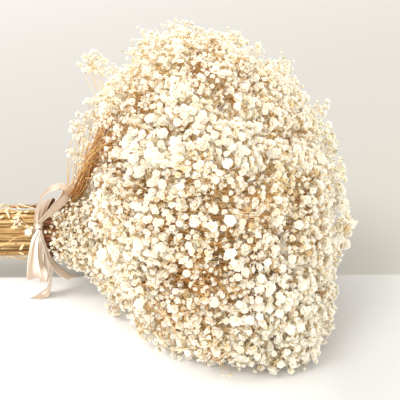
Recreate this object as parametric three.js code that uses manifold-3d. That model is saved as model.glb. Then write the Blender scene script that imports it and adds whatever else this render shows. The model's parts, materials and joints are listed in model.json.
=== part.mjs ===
// A bunch of dried gypsophila, tied with a satin ribbon and lying on its side. Millimetres, +Z up.
// 25 cut stems run side by side through the tie. Each one forks into three strands, which fan out
// past the ribbon and carry one cloud of small blossoms. The clouds share the outside of the head
// without touching: each is the part that lies nearest to its own stem's direction.
// While it is modelled, the tie is at the origin, +X runs up the stems and -Y faces the front.
import * as THREE from "three";
import { mergeVertices } from "three/addons/utils/BufferGeometryUtils.js";
import Module from "manifold-3d";

const wasm = await Module();
wasm.setup();

// The bundle of stems.
const STEM_COUNT = 25;
const STRAND_PITCH = 5.2; // between neighbouring strands, side by side in a hexagonal pattern
const FOOT_RADIUS = 3.1; // of a stem at its cut end, below its forks
const MAIN_RADIUS = 2.4;
const SHOOT_RADIUS = 2.2;
const TIP_RADIUS = 1.1;
const CUT_LENGTH = 185; // from the tie to the cut ends
const CUT_SCATTER = 12; // how unevenly the ends are cut
const FORK_FIRST = 22; // from the cut end to the nearest fork
const FORK_SCATTER = 50;
const FORK_LENGTH = 14; // along the stem, while a shoot moves over to its own place
const AXIS_HEIGHT = 68; // of the bundle's axis above the table
const STRAND_SIDES = 5;

// The fan above the tie. Every cloud is seen along a ray of its own from the fan's centre.
const FAN_CENTRE = new THREE.Vector3(6, 0, 0);
const FAN_START = 15; // the strands are straight up to here
const FAN_LEAN = 45; // of the outermost rays, in degrees, once the head is squeezed to a ball
const FAN_STEPS = 5; // in the curve of a strand
const FAN_SLACK = 0.36; // how long a strand keeps the bundle's direction, as a share of its fan
const STRAND_SPREAD = 0.6; // of a stem's three strands, as a share of its cloud
const STRAND_SHORT = 13; // of the underside of its cloud
const RIM_CELLS = 20; // rays round the outside, which end the outer clouds

// The head of blossoms: an ellipsoid that leans back over the tie and lies flat on the table.
const HEAD_CENTRE = new THREE.Vector3(183, -30, 54);
const HEAD_HALF = new THREE.Vector3(143, 195, 188);
const HEAD_LEAN_UP = 0.16; // back towards the tie, for each millimetre up
const HEAD_LEAN_BACK = 0.05; // and for each millimetre to the back
const HEAD_EDGE = 22; // softens the place where the rays only graze the head
const HEAD_DETAIL = 14; // of the geodesic form
const HOLLOW_DETAIL = 8;
const CLOUD_START = 0.8; // of the underside of the clouds, as a share of the head's reach
const CLOUD_BULGE = 0.07; // of each lump of blossoms above its edges, as a share of the reach
const GAP = 0.4; // between neighbouring pieces

// The ribbon.
const RIBBON_WIDTH = 22;
const RIBBON_THICKNESS = 0.9;
const WRAP_WIDTH = 16; // it bunches up a little where it goes round the stems
const WRAP_STEPS = 24;
const WRAP_DRIFT = 5; // to +X, from the knot to the far side of the bundle
const KNOT_SIZE = new THREE.Vector3(13, 12, 14);
const KNOT_ROUND = 34; // degrees above the front of the bundle
const RUN_STEPS = 16;

const STRAW = 0xcaa46e;
const CREAM = 0xf4ecd8;
const CHAMPAGNE = 0xe3cdb6;

const radians = THREE.MathUtils.degToRad;
const lerp = THREE.MathUtils.lerp;

// A repeatable number from 0 to 1 for each whole number n.
function scatter(n) {
  const s = Math.sin(n * 12.9898 + 4.137) * 43758.5453;
  return s - Math.floor(s);
}

// A closed geometry as a solid that can be joined and cut.
function solidOf(geometry) {
  const bare = new THREE.BufferGeometry();
  bare.setAttribute("position", geometry.getAttribute("position"));
  if (geometry.index) bare.setIndex(geometry.index);
  const merged = mergeVertices(bare, 1e-3);
  return new wasm.Manifold(
    new wasm.Mesh({
      numProp: 3,
      vertProperties: new Float32Array(merged.attributes.position.array),
      triVerts: new Uint32Array(merged.index.array),
    }),
  );
}

function geometryOf(solid) {
  const mesh = solid.getMesh();
  const geometry = new THREE.BufferGeometry();
  geometry.setAttribute("position", new THREE.BufferAttribute(mesh.vertProperties, 3));
  geometry.setIndex(new THREE.BufferAttribute(mesh.triVerts, 1));
  geometry.computeVertexNormals();
  return geometry;
}

// A closed sweep: a cylinder whose rings are moved to a list of rings. Each ring has a centre and
// two half axes, across and over, and across comes after over, turning round the sweep's way.
function sweep(rings, sides, turn = 0) {
  const steps = rings.length - 1;
  const geometry = new THREE.CylinderGeometry(1, 1, steps, sides, steps, false, turn);
  const position = geometry.getAttribute("position");
  const local = new THREE.Vector3();
  for (let i = 0; i < position.count; i++) {
    local.fromBufferAttribute(position, i);
    const ring = rings[Math.round(local.y + steps / 2)];
    const place = ring.centre.clone();
    place.addScaledVector(ring.over, local.x).addScaledVector(ring.across, local.z);
    position.setXYZ(i, place.x, place.y, place.z);
  }
  return solidOf(geometry);
}

// The direction of a path of points at one of them.
function headingAt(points, i) {
  const before = points[Math.max(i - 1, 0)];
  const after = points[Math.min(i + 1, points.length - 1)];
  return after.clone().sub(before).normalize();
}

// A tapered round strand.
function tube(points, radii) {
  const rings = points.map((centre, i) => {
    const along = headingAt(points, i);
    const across = new THREE.Vector3(0, 1, 0).cross(along).normalize();
    const over = along.clone().cross(across);
    return { centre, across: across.multiplyScalar(radii[i]), over: over.multiplyScalar(radii[i]) };
  });
  return sweep(rings, STRAND_SIDES);
}

// A flat band. Each point also has the direction of the band's width, and its width.
function band(points, widthways, widths) {
  const toCorner = Math.SQRT1_2;
  const rings = points.map((centre, i) => {
    const along = headingAt(points, i);
    const across = widthways[i].clone().projectOnPlane(along).normalize();
    const over = along.clone().cross(across);
    across.multiplyScalar(widths[i] * toCorner);
    over.multiplyScalar(RIBBON_THICKNESS * toCorner);
    return { centre, across, over };
  });
  return sweep(rings, 4, Math.PI / 4);
}

// The strands' places in the bundle: a hexagonal pattern, taken three neighbours at a time.
function bundlePlaces() {
  const row = (STRAND_PITCH * Math.sqrt(3)) / 2;
  const at = (i, j) => new THREE.Vector2((i + j / 2) * STRAND_PITCH, j * row);
  const found = [];
  const reach = 8;
  for (let i = -reach; i <= reach; i++)
    for (let j = -reach; j <= reach; j++) {
      if ((i - j) % 3) continue;
      const places = [at(i, j), at(i + 1, j), at(i, j + 1)];
      const middle = places[0].clone().add(places[1]).add(places[2]).divideScalar(3);
      found.push({ places, middle });
    }
  const order = (stem) => stem.middle.length() + 1e-3 * stem.middle.angle();
  found.sort((a, b) => order(a) - order(b));
  return found.slice(0, STEM_COUNT);
}

const bundle = bundlePlaces();
const places = bundle.flatMap((stem) => stem.places);
const bundleRadius = Math.max(...places.map((place) => place.length()));

// A vector in the space where the head is squeezed to a ball of radius 1, and back again.
function toBall(v) {
  const upright = v.x + HEAD_LEAN_UP * v.z + HEAD_LEAN_BACK * v.y;
  return new THREE.Vector3(upright, v.y, v.z).divide(HEAD_HALF);
}

function fromBall(v) {
  const { x, y, z } = v.clone().multiply(HEAD_HALF);
  return new THREE.Vector3(x - HEAD_LEAN_UP * z - HEAD_LEAN_BACK * y, y, z);
}

const fanAxis = toBall(HEAD_CENTRE.clone().sub(FAN_CENTRE)).normalize();
const fanSide = new THREE.Vector3(0, 1, 0).projectOnPlane(fanAxis).normalize();
const fanUp = fanAxis.clone().cross(fanSide);

// The ray of a place in the bundle, as a direction from the fan's centre.
function fanRay(place) {
  const lean = radians(FAN_LEAN) * (place.length() / bundleRadius);
  const aside = place.clone().setLength(Math.sin(lean));
  const ray = fanAxis.clone().multiplyScalar(Math.cos(lean));
  return fromBall(ray.addScaledVector(fanSide, aside.x).addScaledVector(fanUp, aside.y)).normalize();
}

// How far the head reaches from the fan's centre along a ray, or nearly does if the ray misses it.
function headReach(ray) {
  const from = toBall(FAN_CENTRE.clone().sub(HEAD_CENTRE));
  const along = toBall(ray);
  const square = along.lengthSq();
  const middle = -from.dot(along) / square;
  const half = middle ** 2 - (from.lengthSq() - 1) / square;
  return Math.max(middle, 0) + Math.sqrt(Math.max(half, 0) + HEAD_EDGE ** 2);
}

const stemRays = bundle.map((stem) => fanRay(stem.middle));
const rimRays = Array.from({ length: RIM_CELLS }, (_, i) => {
  const round = (i / RIM_CELLS) * 2 * Math.PI;
  const beyond = 1.15 * bundleRadius;
  return fanRay(new THREE.Vector2(beyond * Math.cos(round), beyond * Math.sin(round)));
});
const lumpRays = places.map(fanRay);

// The height of the lump of blossoms at a ray, from 0 at its edge to 1 in its middle.
function lump(ray) {
  const [nearest, next] = lumpRays.map((d) => d.angleTo(ray)).sort((a, b) => a - b);
  return Math.sqrt(1 - (nearest / next) ** 2);
}

// The head as a solid, out to a share of its reach, with or without its lumps.
function headForm(detail, share, bulge) {
  const geometry = new THREE.IcosahedronGeometry(1, detail);
  const position = geometry.getAttribute("position");
  const ray = new THREE.Vector3();
  for (let i = 0; i < position.count; i++) {
    ray.fromBufferAttribute(position, i).normalize();
    const reach = headReach(ray) * (share + (bulge ? bulge * (lump(ray) - 1) : 0));
    const place = FAN_CENTRE.clone().addScaledVector(ray, reach);
    position.setXYZ(i, place.x, place.y, place.z);
  }
  return solidOf(geometry);
}

// The clouds lie on the table, and the strands stay above the flat undersides.
function aboveTable(solid, height) {
  return solid.trimByPlane([0, 0, 1], height - AXIS_HEIGHT);
}

const head = aboveTable(headForm(HEAD_DETAIL, 1, CLOUD_BULGE), 0);
const hollow = aboveTable(headForm(HOLLOW_DETAIL, CLOUD_START, 0), (1 - CLOUD_START) * AXIS_HEIGHT);
const shell = head.subtract(hollow);

// One stem's cloud: the part of the shell that is nearer to its ray than to any other.
function blossomCloud(own) {
  const widest = radians(80);
  const others = [...stemRays, ...rimRays].filter((ray) => ray !== own && own.angleTo(ray) < widest);
  return others.reduce((cloud, other) => {
    const normal = own.clone().sub(other).normalize();
    return cloud.trimByPlane(normal.toArray(), normal.dot(FAN_CENTRE) + GAP / 2);
  }, shell);
}

// A strand's curve from the end of the bundle to the underside of its cloud.
function fanCurve(place, stem) {
  const start = new THREE.Vector3(FAN_START, place.x, place.y);
  const ray = fanRay(stem.middle.clone().lerp(place, STRAND_SPREAD));
  const toTable = ray.z < 0 ? AXIS_HEIGHT / -ray.z : Infinity;
  const reach = CLOUD_START * Math.min(headReach(ray), toTable) - STRAND_SHORT;
  const end = FAN_CENTRE.clone().addScaledVector(ray, reach);
  const slack = FAN_SLACK * start.distanceTo(end);
  return new THREE.CubicBezierCurve3(
    start,
    start.clone().add(new THREE.Vector3(slack, 0, 0)),
    end.clone().addScaledVector(ray, -slack),
    end,
  );
}

// A place in the bundle, at a distance along it.
function inBundle(place, x) {
  return new THREE.Vector3(x, place.x, place.y);
}

// A strand through two points in the bundle, and along its curve to its cloud.
function strand(place, stem, feet, footRadii) {
  const fan = fanCurve(place, stem).getPoints(FAN_STEPS);
  const radii = fan.map((_, i) => lerp(footRadii[1], TIP_RADIUS, i / FAN_STEPS));
  return tube([...feet, ...fan], [...footRadii, ...radii]);
}

// One cut stem: its main strand, and the two shoots that leave it inside the bundle.
function gypsophilaStem(stem, index) {
  const cut = -CUT_LENGTH + CUT_SCATTER * (scatter(index) - 0.5);
  const [main, ...shoots] = stem.places;
  const slimmed = cut + FORK_FIRST + FORK_SCATTER;
  const feet = [inBundle(main, cut), inBundle(main, slimmed)];
  const trunk = strand(main, stem, feet, [FOOT_RADIUS, MAIN_RADIUS]);
  return shoots.reduce((solid, place, i) => {
    const fork = cut + FORK_FIRST + FORK_SCATTER * scatter(100 + 7 * index + i);
    const shootFeet = [inBundle(main, fork), inBundle(place, fork + FORK_LENGTH)];
    return solid.add(strand(place, stem, shootFeet, [SHOOT_RADIUS, SHOOT_RADIUS]));
  }, trunk);
}

// A ribbon run through a list of [x, y, z, width, width's direction].
function ribbonRun(stops) {
  const path = new THREE.CatmullRomCurve3(stops.map(([x, y, z]) => new THREE.Vector3(x, y, z)));
  const turns = new THREE.CatmullRomCurve3(stops.map((s) => new THREE.Vector3(...s[4])));
  const points = path.getPoints(RUN_STEPS);
  const widthways = turns.getPoints(RUN_STEPS);
  const widths = points.map((_, i) => {
    const at = (i / RUN_STEPS) * (stops.length - 1);
    const from = Math.min(Math.floor(at), stops.length - 2);
    return lerp(stops[from][3], stops[from + 1][3], at - from);
  });
  return band(points, widthways, widths);
}

const knotRound = radians(180 - KNOT_ROUND);
const wrapRadius = bundleRadius + MAIN_RADIUS + GAP + RIBBON_THICKNESS / 2;

function ribbonWrap() {
  const points = [];
  for (let i = 0; i <= WRAP_STEPS; i++) {
    const round = (i / WRAP_STEPS) * 2 * Math.PI;
    const drift = (WRAP_DRIFT * (1 - Math.cos(round))) / 2;
    const [y, z] = [Math.cos(knotRound + round), Math.sin(knotRound + round)];
    points.push(new THREE.Vector3(drift, wrapRadius * y, wrapRadius * z));
  }
  const widthways = points.map(() => new THREE.Vector3(1, 0, 0));
  return band(points, widthways, points.map(() => WRAP_WIDTH));
}

function ribbonKnot() {
  const geometry = new THREE.SphereGeometry(0.5, 12, 8);
  const out = wrapRadius + KNOT_SIZE.y / 2 - 2;
  geometry.scale(KNOT_SIZE.x, KNOT_SIZE.y, KNOT_SIZE.z);
  geometry.translate(0, out * Math.cos(knotRound), out * Math.sin(knotRound));
  return solidOf(geometry);
}

// One ribbon: the wrap, the knot, two loops and two cut tails.
function satinRibbon() {
  const w = RIBBON_WIDTH;
  const upperLoop = ribbonRun([
    [0, -28, 20, 8, [0.6, 0.3, -0.7]],
    [13, -34, 37, w, [0.5, 0.7, -0.5]],
    [28, -33, 53, w, [0.3, 0.9, -0.3]],
    [33, -24, 62, w, [0, 1, 0.1]],
    [23, -19, 64, w, [-0.1, 1, 0.2]],
    [7, -22, 52, w, [-0.1, 0.9, 0.3]],
    [0, -27, 38, 14, [-0.3, 0.8, 0]],
    [-1, -28, 22, 8, [-0.6, 0.3, 0]],
  ]);
  const lowerLoop = ribbonRun([
    [-1, -29, 18, 8, [1, 0, 0]],
    [-4, -37, -2, w, [1, 0.1, 0]],
    [-5, -42, -25, w, [1, 0.2, 0.1]],
    [-2, -42, -40, w, [1, 0.3, 0.2]],
    [3, -35, -41, w, [0.9, 0.4, 0.1]],
    [5, -34, -22, w, [0.9, 0.4, 0]],
    [4, -33, 0, 15, [1, 0.2, 0]],
    [1, -29, 16, 8, [1, 0.1, 0]],
  ]);
  const tailRight = ribbonRun([
    [2, -28, 16, 8, [1, 0, 0]],
    [7, -32, -6, 14, [1, 0.2, 0]],
    [14, -33, -26, w, [0.6, 0.5, 0.5]],
    [24, -38, -34, w, [0.2, 0.6, 0.8]],
    [37, -46, -38, 10, [0.1, 0.7, 0.6]],
  ]);
  const tailDown = ribbonRun([
    [1, -28, 16, 8, [1, 0, 0]],
    [7, -32, -6, 12, [1, 0.2, 0]],
    [11, -33, -26, 18, [0.4, 1, 0]],
    [11, -32, -46, w, [-0.1, 1, 0]],
    [4, -32, -64, w, [-0.3, 1, 0]],
    [-8, -34, -67, w, [0.2, 1, 0]],
    [-20, -36, -67.4, 12, [0.3, 1, 0]],
  ]);
  return [ribbonKnot(), upperLoop, lowerLoop, tailRight, tailDown].reduce(
    (ribbon, run) => ribbon.add(run),
    ribbonWrap(),
  );
}

const bouquet = new THREE.Group();

function addPiece(name, solid, color, roughness) {
  const material = new THREE.MeshStandardMaterial({ color, roughness, metalness: 0 });
  const mesh = new THREE.Mesh(geometryOf(solid), material);
  mesh.name = name;
  bouquet.add(mesh);
}

bundle.forEach((stem, index) => {
  const number = String(index + 1).padStart(2, "0");
  addPiece(`stem_${number}`, gypsophilaStem(stem, index), STRAW, 0.7);
  addPiece(`blossoms_${number}`, blossomCloud(stemRays[index]), CREAM, 0.9);
});
addPiece("satin_ribbon", satinRibbon(), CHAMPAGNE, 0.35);

// The finished bunch stands on the middle of its own box.
const box = new THREE.Box3().setFromObject(bouquet);
bouquet.position.set(-(box.min.x + box.max.x) / 2, -(box.min.y + box.max.y) / 2, -box.min.z);

export default bouquet;
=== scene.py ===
# %% [markdown]
# # A tied bunch of dried gypsophila
#
# The real object is a bunch of twenty-five dried stems of baby's breath. It lies on its side and
# is held together by one satin ribbon. This lesson builds it piece by piece: the straw-coloured
# stems, the fine golden twigs, thousands of small cream blossoms, and the ribbon with its knot.
#
# The engineering model is loaded first. It says where the table is, where the tie is and how far
# the head of blossoms reaches, so every piece here can be made in the same place.

# %% Load the frame
import json
import math
import random

import bmesh
import bpy
import numpy as np
from mathutils import Matrix, Vector

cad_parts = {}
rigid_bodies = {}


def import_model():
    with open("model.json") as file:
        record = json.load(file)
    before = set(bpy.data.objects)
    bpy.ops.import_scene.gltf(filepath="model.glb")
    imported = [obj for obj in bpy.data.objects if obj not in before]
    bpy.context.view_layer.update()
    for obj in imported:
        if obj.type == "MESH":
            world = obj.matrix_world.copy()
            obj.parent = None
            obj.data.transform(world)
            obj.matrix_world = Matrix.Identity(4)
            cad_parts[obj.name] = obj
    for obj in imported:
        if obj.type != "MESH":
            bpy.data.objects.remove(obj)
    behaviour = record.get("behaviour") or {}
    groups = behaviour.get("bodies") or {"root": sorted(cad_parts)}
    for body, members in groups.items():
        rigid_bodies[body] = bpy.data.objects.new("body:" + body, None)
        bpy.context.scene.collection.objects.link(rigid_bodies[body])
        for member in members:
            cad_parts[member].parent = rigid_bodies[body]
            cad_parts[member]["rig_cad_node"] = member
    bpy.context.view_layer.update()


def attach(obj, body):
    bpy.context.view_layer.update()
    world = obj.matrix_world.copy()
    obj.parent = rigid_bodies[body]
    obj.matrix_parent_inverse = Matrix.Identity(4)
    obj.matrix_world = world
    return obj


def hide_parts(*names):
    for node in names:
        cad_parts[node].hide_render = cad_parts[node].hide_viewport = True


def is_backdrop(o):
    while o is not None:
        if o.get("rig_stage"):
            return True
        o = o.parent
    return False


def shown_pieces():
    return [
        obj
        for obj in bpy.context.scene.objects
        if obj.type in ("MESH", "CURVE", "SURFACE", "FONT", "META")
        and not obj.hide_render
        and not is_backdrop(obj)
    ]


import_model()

# %% [markdown]
# ## One place to measure from
#
# A bunch is easiest to describe from its tie. So the shapes below are worked out in millimetres
# from the tie: +X runs up the stems, -Y faces the front and +Z is up. A finished mesh is then
# moved to the frame's place and scaled to metres in one step, which leaves its object at the
# origin.

# %% Measures
TIE = Vector((-69.5, 30.1, 68.0))  # the tie in the frame, in millimetres
TO_FRAME = Matrix.Scale(0.001, 4) @ Matrix.Translation(TIE)
TABLE = -TIE.z  # the table's height, measured from the tie
chance = random.Random(11)
scene = bpy.context.scene


def jitter(size):
    """A small random step."""
    return Vector((chance.gauss(0, size), chance.gauss(0, size), chance.gauss(0, size)))


# %% [markdown]
# ## The camera, the table and the light
#
# A long lens from a little above shows the bunch without much perspective. The table is one wide
# pale plane. Its far part is a warm grey, like a paper backdrop, and its near part is white. Both
# parts carry painted light: the grey gets paler towards the far left, and the near part darkens
# towards the right, which deepens the shadow beside the bunch. One broad lamp shines from the
# upper left. A lower and softer one at the front lights the undersides of the blossoms, and a
# bright pale surround fills the shadows.

# %% Camera
EYE_TARGET = Vector((0.1035, -0.0099, 0.120))  # what it looks at, in metres
EYE_DISTANCE = 1.05
EYE_HEIGHT = math.radians(20)  # how steeply it looks down
EYE_LENS, EYE_SENSOR = 90, 36  # in millimetres
eye = bpy.data.cameras.new("eye")
eye.lens, eye.sensor_width = EYE_LENS, EYE_SENSOR
eye_object = bpy.data.objects.new("eye", eye)
back = Vector((0, -math.cos(EYE_HEIGHT), math.sin(EYE_HEIGHT)))
eye_object.location = EYE_TARGET + EYE_DISTANCE * back
eye_object.rotation_euler = (math.pi / 2 - EYE_HEIGHT, 0, 0)
scene.collection.objects.link(eye_object)
scene.camera = eye_object


# %% Node helpers
def material(name, roughness):
    """A new material, and the tree and main shader that its nodes are added to."""
    made = bpy.data.materials.new(name)
    made.use_nodes = True
    shader = made.node_tree.nodes["Principled BSDF"]
    shader.inputs["Roughness"].default_value = roughness
    return made, made.node_tree, shader


def node(tree, kind, settings=None, **inputs):
    """Adds a node. Inputs are given by name; one that is a socket is linked."""
    made = tree.nodes.new("ShaderNode" + kind)
    for name, value in (settings or {}).items():
        setattr(made, name, value)
    for name, value in inputs.items():
        socket = made.inputs[int(name[1:])] if name[1:].isdigit() else made.inputs[name.replace("_", " ")]
        if isinstance(value, bpy.types.NodeSocket):
            tree.links.new(value, socket)
        else:
            socket.default_value = value
    return made


def attribute(tree, name):
    """A number that the points of a mesh carry."""
    return node(tree, "Attribute", {"attribute_name": name}).outputs["Fac"]


def arithmetic(tree, how, *values):
    """A number that is worked out from one or two others."""
    numbered = {f"_{k}": value for k, value in enumerate(values)}
    return node(tree, "Math", {"operation": how}, **numbered).outputs[0]


def dot(tree, where, way):
    """How far a place lies along a way."""
    return node(tree, "VectorMath", {"operation": "DOT_PRODUCT"}, _0=where, _1=way).outputs["Value"]


def blend(tree, factor, first, second, how="MIX"):
    """The mix of two colours."""
    made = tree.nodes.new("ShaderNodeMix")
    made.data_type, made.blend_type = "RGBA", how
    for socket, value in zip((made.inputs[0], made.inputs[6], made.inputs[7]), (factor, first, second)):
        if isinstance(value, bpy.types.NodeSocket):
            tree.links.new(value, socket)
        else:
            socket.default_value = value
    return made.outputs[2]


def ramp(tree, factor, *stops):
    """A colour ramp. Each stop is (position, (red, green, blue))."""
    made = node(tree, "ValToRGB")
    tree.links.new(factor, made.inputs["Fac"])
    elements = made.color_ramp.elements
    while len(elements) < len(stops):
        elements.new(1)
    for element, (position, colour) in zip(elements, stops):
        element.position, element.color = position, (*colour, 1)
    return made.outputs["Color"]


def noise(tree, scale, detail=2.0, stretch=(1, 1, 1)):
    """Noise in the object's own metres. stretch scales its pattern on each axis."""
    where = node(tree, "TexCoord").outputs["Object"]
    turned = node(tree, "Mapping", Vector=where, Scale=stretch).outputs["Vector"]
    return node(tree, "TexNoise", Vector=turned, Scale=scale, Detail=detail).outputs["Fac"]


def bump(tree, shader, height, strength, distance):
    """Lets a height, from 0 to 1, roughen a surface. The distance is how high 1 stands, in metres."""
    made = node(tree, "Bump", Height=height, Strength=strength, Distance=distance)
    tree.links.new(made.outputs["Normal"], shader.inputs["Normal"])


# %% Table
BACKDROP_EDGE = (Vector((-0.1102, 0.0581)), Vector((0.3244, 0.0665)))  # where white turns to grey
EDGE_SOFTNESS = 0.003  # half the width of that change, in metres
PAINTED_LIGHT_FADE = (-0.28, 0.22, 0)  # painted light: the way in which the grey gets paler towards the far left, and how fast
TABLE_HALF = 4.0  # from its middle to its side, in metres
bm = bmesh.new()
bmesh.ops.create_grid(bm, x_segments=1, y_segments=1, size=TABLE_HALF)
table_mesh = bpy.data.meshes.new("table")
bm.to_mesh(table_mesh)
bm.free()
table = bpy.data.objects.new("table", table_mesh)
scene.collection.objects.link(table)
table_finish, tree, shader = material("table", 0.85)
run = (BACKDROP_EDGE[1] - BACKDROP_EDGE[0]).normalized()
where = node(tree, "TexCoord").outputs["Object"]
across = dot(tree, where, (-run.y, run.x, 0))
offset = -run.y * BACKDROP_EDGE[0].x + run.x * BACKDROP_EDGE[0].y
beyond = arithmetic(tree, "SUBTRACT", across, offset)
edge = node(tree, "MapRange", _0=beyond, _1=-EDGE_SOFTNESS, _2=EDGE_SOFTNESS).outputs[0]
# The grey paper gets paler towards the far left, as painted light.
painted_light_fade = dot(tree, where, PAINTED_LIGHT_FADE)
paper = ramp(
    tree, painted_light_fade,
    (0.0, (0.375, 0.360, 0.324)), (0.16, (0.382, 0.368, 0.343)), (0.62, (0.445, 0.431, 0.412)),
)
# Painted light and shade: the near part is white at the left and darker towards the right, which deepens the
# shadow beside the bunch.
sideways = node(tree, "SeparateXYZ", Vector=where).outputs["X"]
near = ramp(tree, sideways, (0.05, (0.86, 0.86, 0.855)), (0.24, (0.49, 0.485, 0.475)))
colour = blend(tree, edge, near, paper)
tree.links.new(colour, shader.inputs["Base Color"])
table.data.materials.append(table_finish)
table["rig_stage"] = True

# %% Light
surround = bpy.data.worlds.new("surround")
surround.use_nodes = True
glow = surround.node_tree.nodes["Background"].inputs
glow["Color"].default_value = (1.0, 0.985, 0.96, 1)
glow["Strength"].default_value = 1.5
scene.world = surround


def sun(name, strength, colour, azimuth, height, spread):
    """A lamp far away. azimuth 0 is at the front and 90 at the right, and height is above the table."""
    lamp = bpy.data.lights.new(name, "SUN")
    lamp.energy, lamp.color, lamp.angle = strength, colour, math.radians(spread)
    placed = bpy.data.objects.new(name, lamp)
    a, h = math.radians(azimuth), math.radians(height)
    towards = Vector((math.sin(a) * math.cos(h), -math.cos(a) * math.cos(h), math.sin(h)))
    placed.rotation_euler = towards.to_track_quat("Z", "Y").to_euler()
    scene.collection.objects.link(placed)


sun("key", 1.78, (0.985, 0.985, 0.97), azimuth=-42, height=46, spread=24)
sun("fill", 1.15, (1.0, 0.985, 0.96), azimuth=4, height=22, spread=50)
scene.view_settings.view_transform = "Standard"

# %% [markdown]
# ## Where the strands run
#
# Each stem forks inside the bundle into three strands, and packed round strands settle into a
# hexagonal pattern. Past the tie they fan out towards a head that is wider than it is deep. The
# head is an ellipsoid that leans back over the tie. Directions are shared out in a space where
# the head is squeezed to a ball, so that the fan fills its whole width. These are the same
# formulas as in the engineering model, so every strand lands in its own packed place.

# %% The bundle's pattern
STEM_COUNT = 25
STRAND_PITCH = 5.2  # from the middle of a strand to the next, in millimetres
PATTERN_REACH = 8  # how many strands from its middle the pattern is tried


def packed_stems():
    """The places of three neighbouring strands for each stem, as (y, z), nearest the middle first."""
    found = []
    tried = range(-PATTERN_REACH, PATTERN_REACH + 1)
    for i in tried:
        for j in tried:
            if (i - j) % 3 == 0:
                places = [
                    Vector(((a + b / 2) * STRAND_PITCH, b * STRAND_PITCH * math.sqrt(3) / 2))
                    for a, b in ((i, j), (i + 1, j), (i, j + 1))
                ]
                found.append((sum(places, Vector((0, 0))) / 3, places))
    # Of stems that are equally near the middle, the one at the smaller angle comes first.
    found.sort(key=lambda s: s[0].length + 1e-3 * (math.atan2(s[0].y, s[0].x) % (2 * math.pi)))
    return found[:STEM_COUNT]


stems = packed_stems()
bundle_radius = max(place.length for _, places in stems for place in places)
print("bundle radius", round(bundle_radius, 1), "mm")

# %% The fan and the head
FAN_CENTRE = Vector((6, 0, 0))  # where the strands seem to spread from
FAN_LEAN = math.radians(45)  # how far the outermost strand leans away from the fan's axis
HEAD_CENTRE = Vector((183, -30, 54))
HEAD_HALF = Vector((143, 195, 188))  # half the head's size along, across and up
LEAN_UP, LEAN_BACK = 0.16, 0.05  # how much the head leans back over the tie
HEAD_EDGE = 22  # keeps a reach smooth where its ray only grazes the head
CLOUD_START = 0.8  # the share of a ray's reach where the cloud of blossoms starts


def to_ball(v):
    """A step in millimetres, taken to the space where the head is a ball of radius 1."""
    along = v.x + LEAN_UP * v.z + LEAN_BACK * v.y
    return Vector((along / HEAD_HALF.x, v.y / HEAD_HALF.y, v.z / HEAD_HALF.z))


def from_ball(v):
    """The way back from that space to millimetres."""
    x, y, z = v.x * HEAD_HALF.x, v.y * HEAD_HALF.y, v.z * HEAD_HALF.z
    return Vector((x - LEAN_UP * z - LEAN_BACK * y, y, z))


fan_axis = to_ball(HEAD_CENTRE - FAN_CENTRE).normalized()
fan_side = Vector((0, 1, 0)) - fan_axis * fan_axis.y
fan_side.normalize()
fan_up = fan_axis.cross(fan_side)


def fan_ray(place):
    """The direction from the fan's centre that a place in the bundle leads to."""
    lean = FAN_LEAN * place.length / bundle_radius
    aside = place.normalized() * math.sin(lean) if place.length else place
    return from_ball(fan_axis * math.cos(lean) + fan_side * aside.x + fan_up * aside.y).normalized()


def head_reach(ray):
    """How far the head reaches from the fan's centre along a ray."""
    start, along = to_ball(FAN_CENTRE - HEAD_CENTRE), to_ball(ray)
    square = along.length_squared
    middle = -start.dot(along) / square
    half = middle**2 - (start.length_squared - 1) / square
    return max(middle, 0) + math.sqrt(max(half, 0) + HEAD_EDGE**2)


def to_table(ray):
    """How far it is to the table along a ray from the fan's centre."""
    return TABLE / ray.z if ray.z < 0 else math.inf


# %% The head's own shape
def nearness(direction, centre, degrees):
    """From 1 at a centre to 0 far from it."""
    angle = direction.angle(Vector(centre))
    return math.exp(-((angle / math.radians(degrees)) ** 2))


SWELLING_EDGE, SWELLING_GAIN = 0.12, 1.12  # how soon a swelling fades at its edge, and a gain to match
SWELLINGS = [  # a direction in the squeezed head, its reach in degrees, and how much the head swells
    ((0.55, -0.61, -0.57), 15, 0.10), ((0.34, -0.73, -0.59), 15, 0.08), ((-0.05, -0.79, -0.61), 18, 0.05),
    ((0.80, 0.20, 0.57), 14, 0.05), ((0.0, 0.33, 0.94), 14, -0.09), ((-0.475, 0.29, 0.83), 12, -0.20),
    ((-0.61, -0.34, 0.72), 14, -0.12), ((-0.70, -0.47, 0.54), 16, -0.18), ((-0.84, 0.18, 0.51), 14, -0.22),
    ((0.40, 0.20, 0.88), 13, -0.07), ((0.80, -0.45, -0.40), 13, -0.08),
    ((0.95, -0.25, 0.15), 30, -0.10), ((0.73, -0.68, 0.10), 18, -0.07), ((0.85, 0.30, 0.20), 24, -0.10),
]


def swelling(direction):
    """How much further than the ellipsoid the head reaches in a direction, as a share."""
    shares = [nearness(direction, centre, degrees) for centre, degrees, _ in SWELLINGS]
    swells = sum(share * grows for share, (_, _, grows) in zip(shares, SWELLINGS))
    return swells / (sum(shares) + SWELLING_EDGE) * SWELLING_GAIN


def near_skin(direction, share):
    """A place at a share of the way from the head's centre to its skin."""
    return HEAD_CENTRE + from_ball(direction) * (1 + swelling(direction)) * share


# %% A strand's way through the fan
FAN_START = 15  # how far past the tie the fan starts
FAN_SLACK = 0.36  # how long a strand stays straight at both ends, as a share of its length
STRAND_SPREAD = 0.6  # how far the three strands of a stem spread from each other
STRAND_SHORT = 13  # how far below the cloud a strand ends
HOLLOW_PULL = 1.3  # how much of a hollow in the head is taken off its strands


def bezier(p0, p1, p2, p3, steps):
    """Points along a cubic curve."""
    made = []
    for k in range(steps + 1):
        t = k / steps
        s = 1 - t
        made.append(p0 * s**3 + p1 * (3 * s * s * t) + p2 * (3 * s * t * t) + p3 * t**3)
    return made


def heading_at(curve, k):
    """The direction of a curve at its point k."""
    return (curve[min(k + 1, len(curve) - 1)] - curve[max(k - 1, 0)]).normalized()


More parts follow.
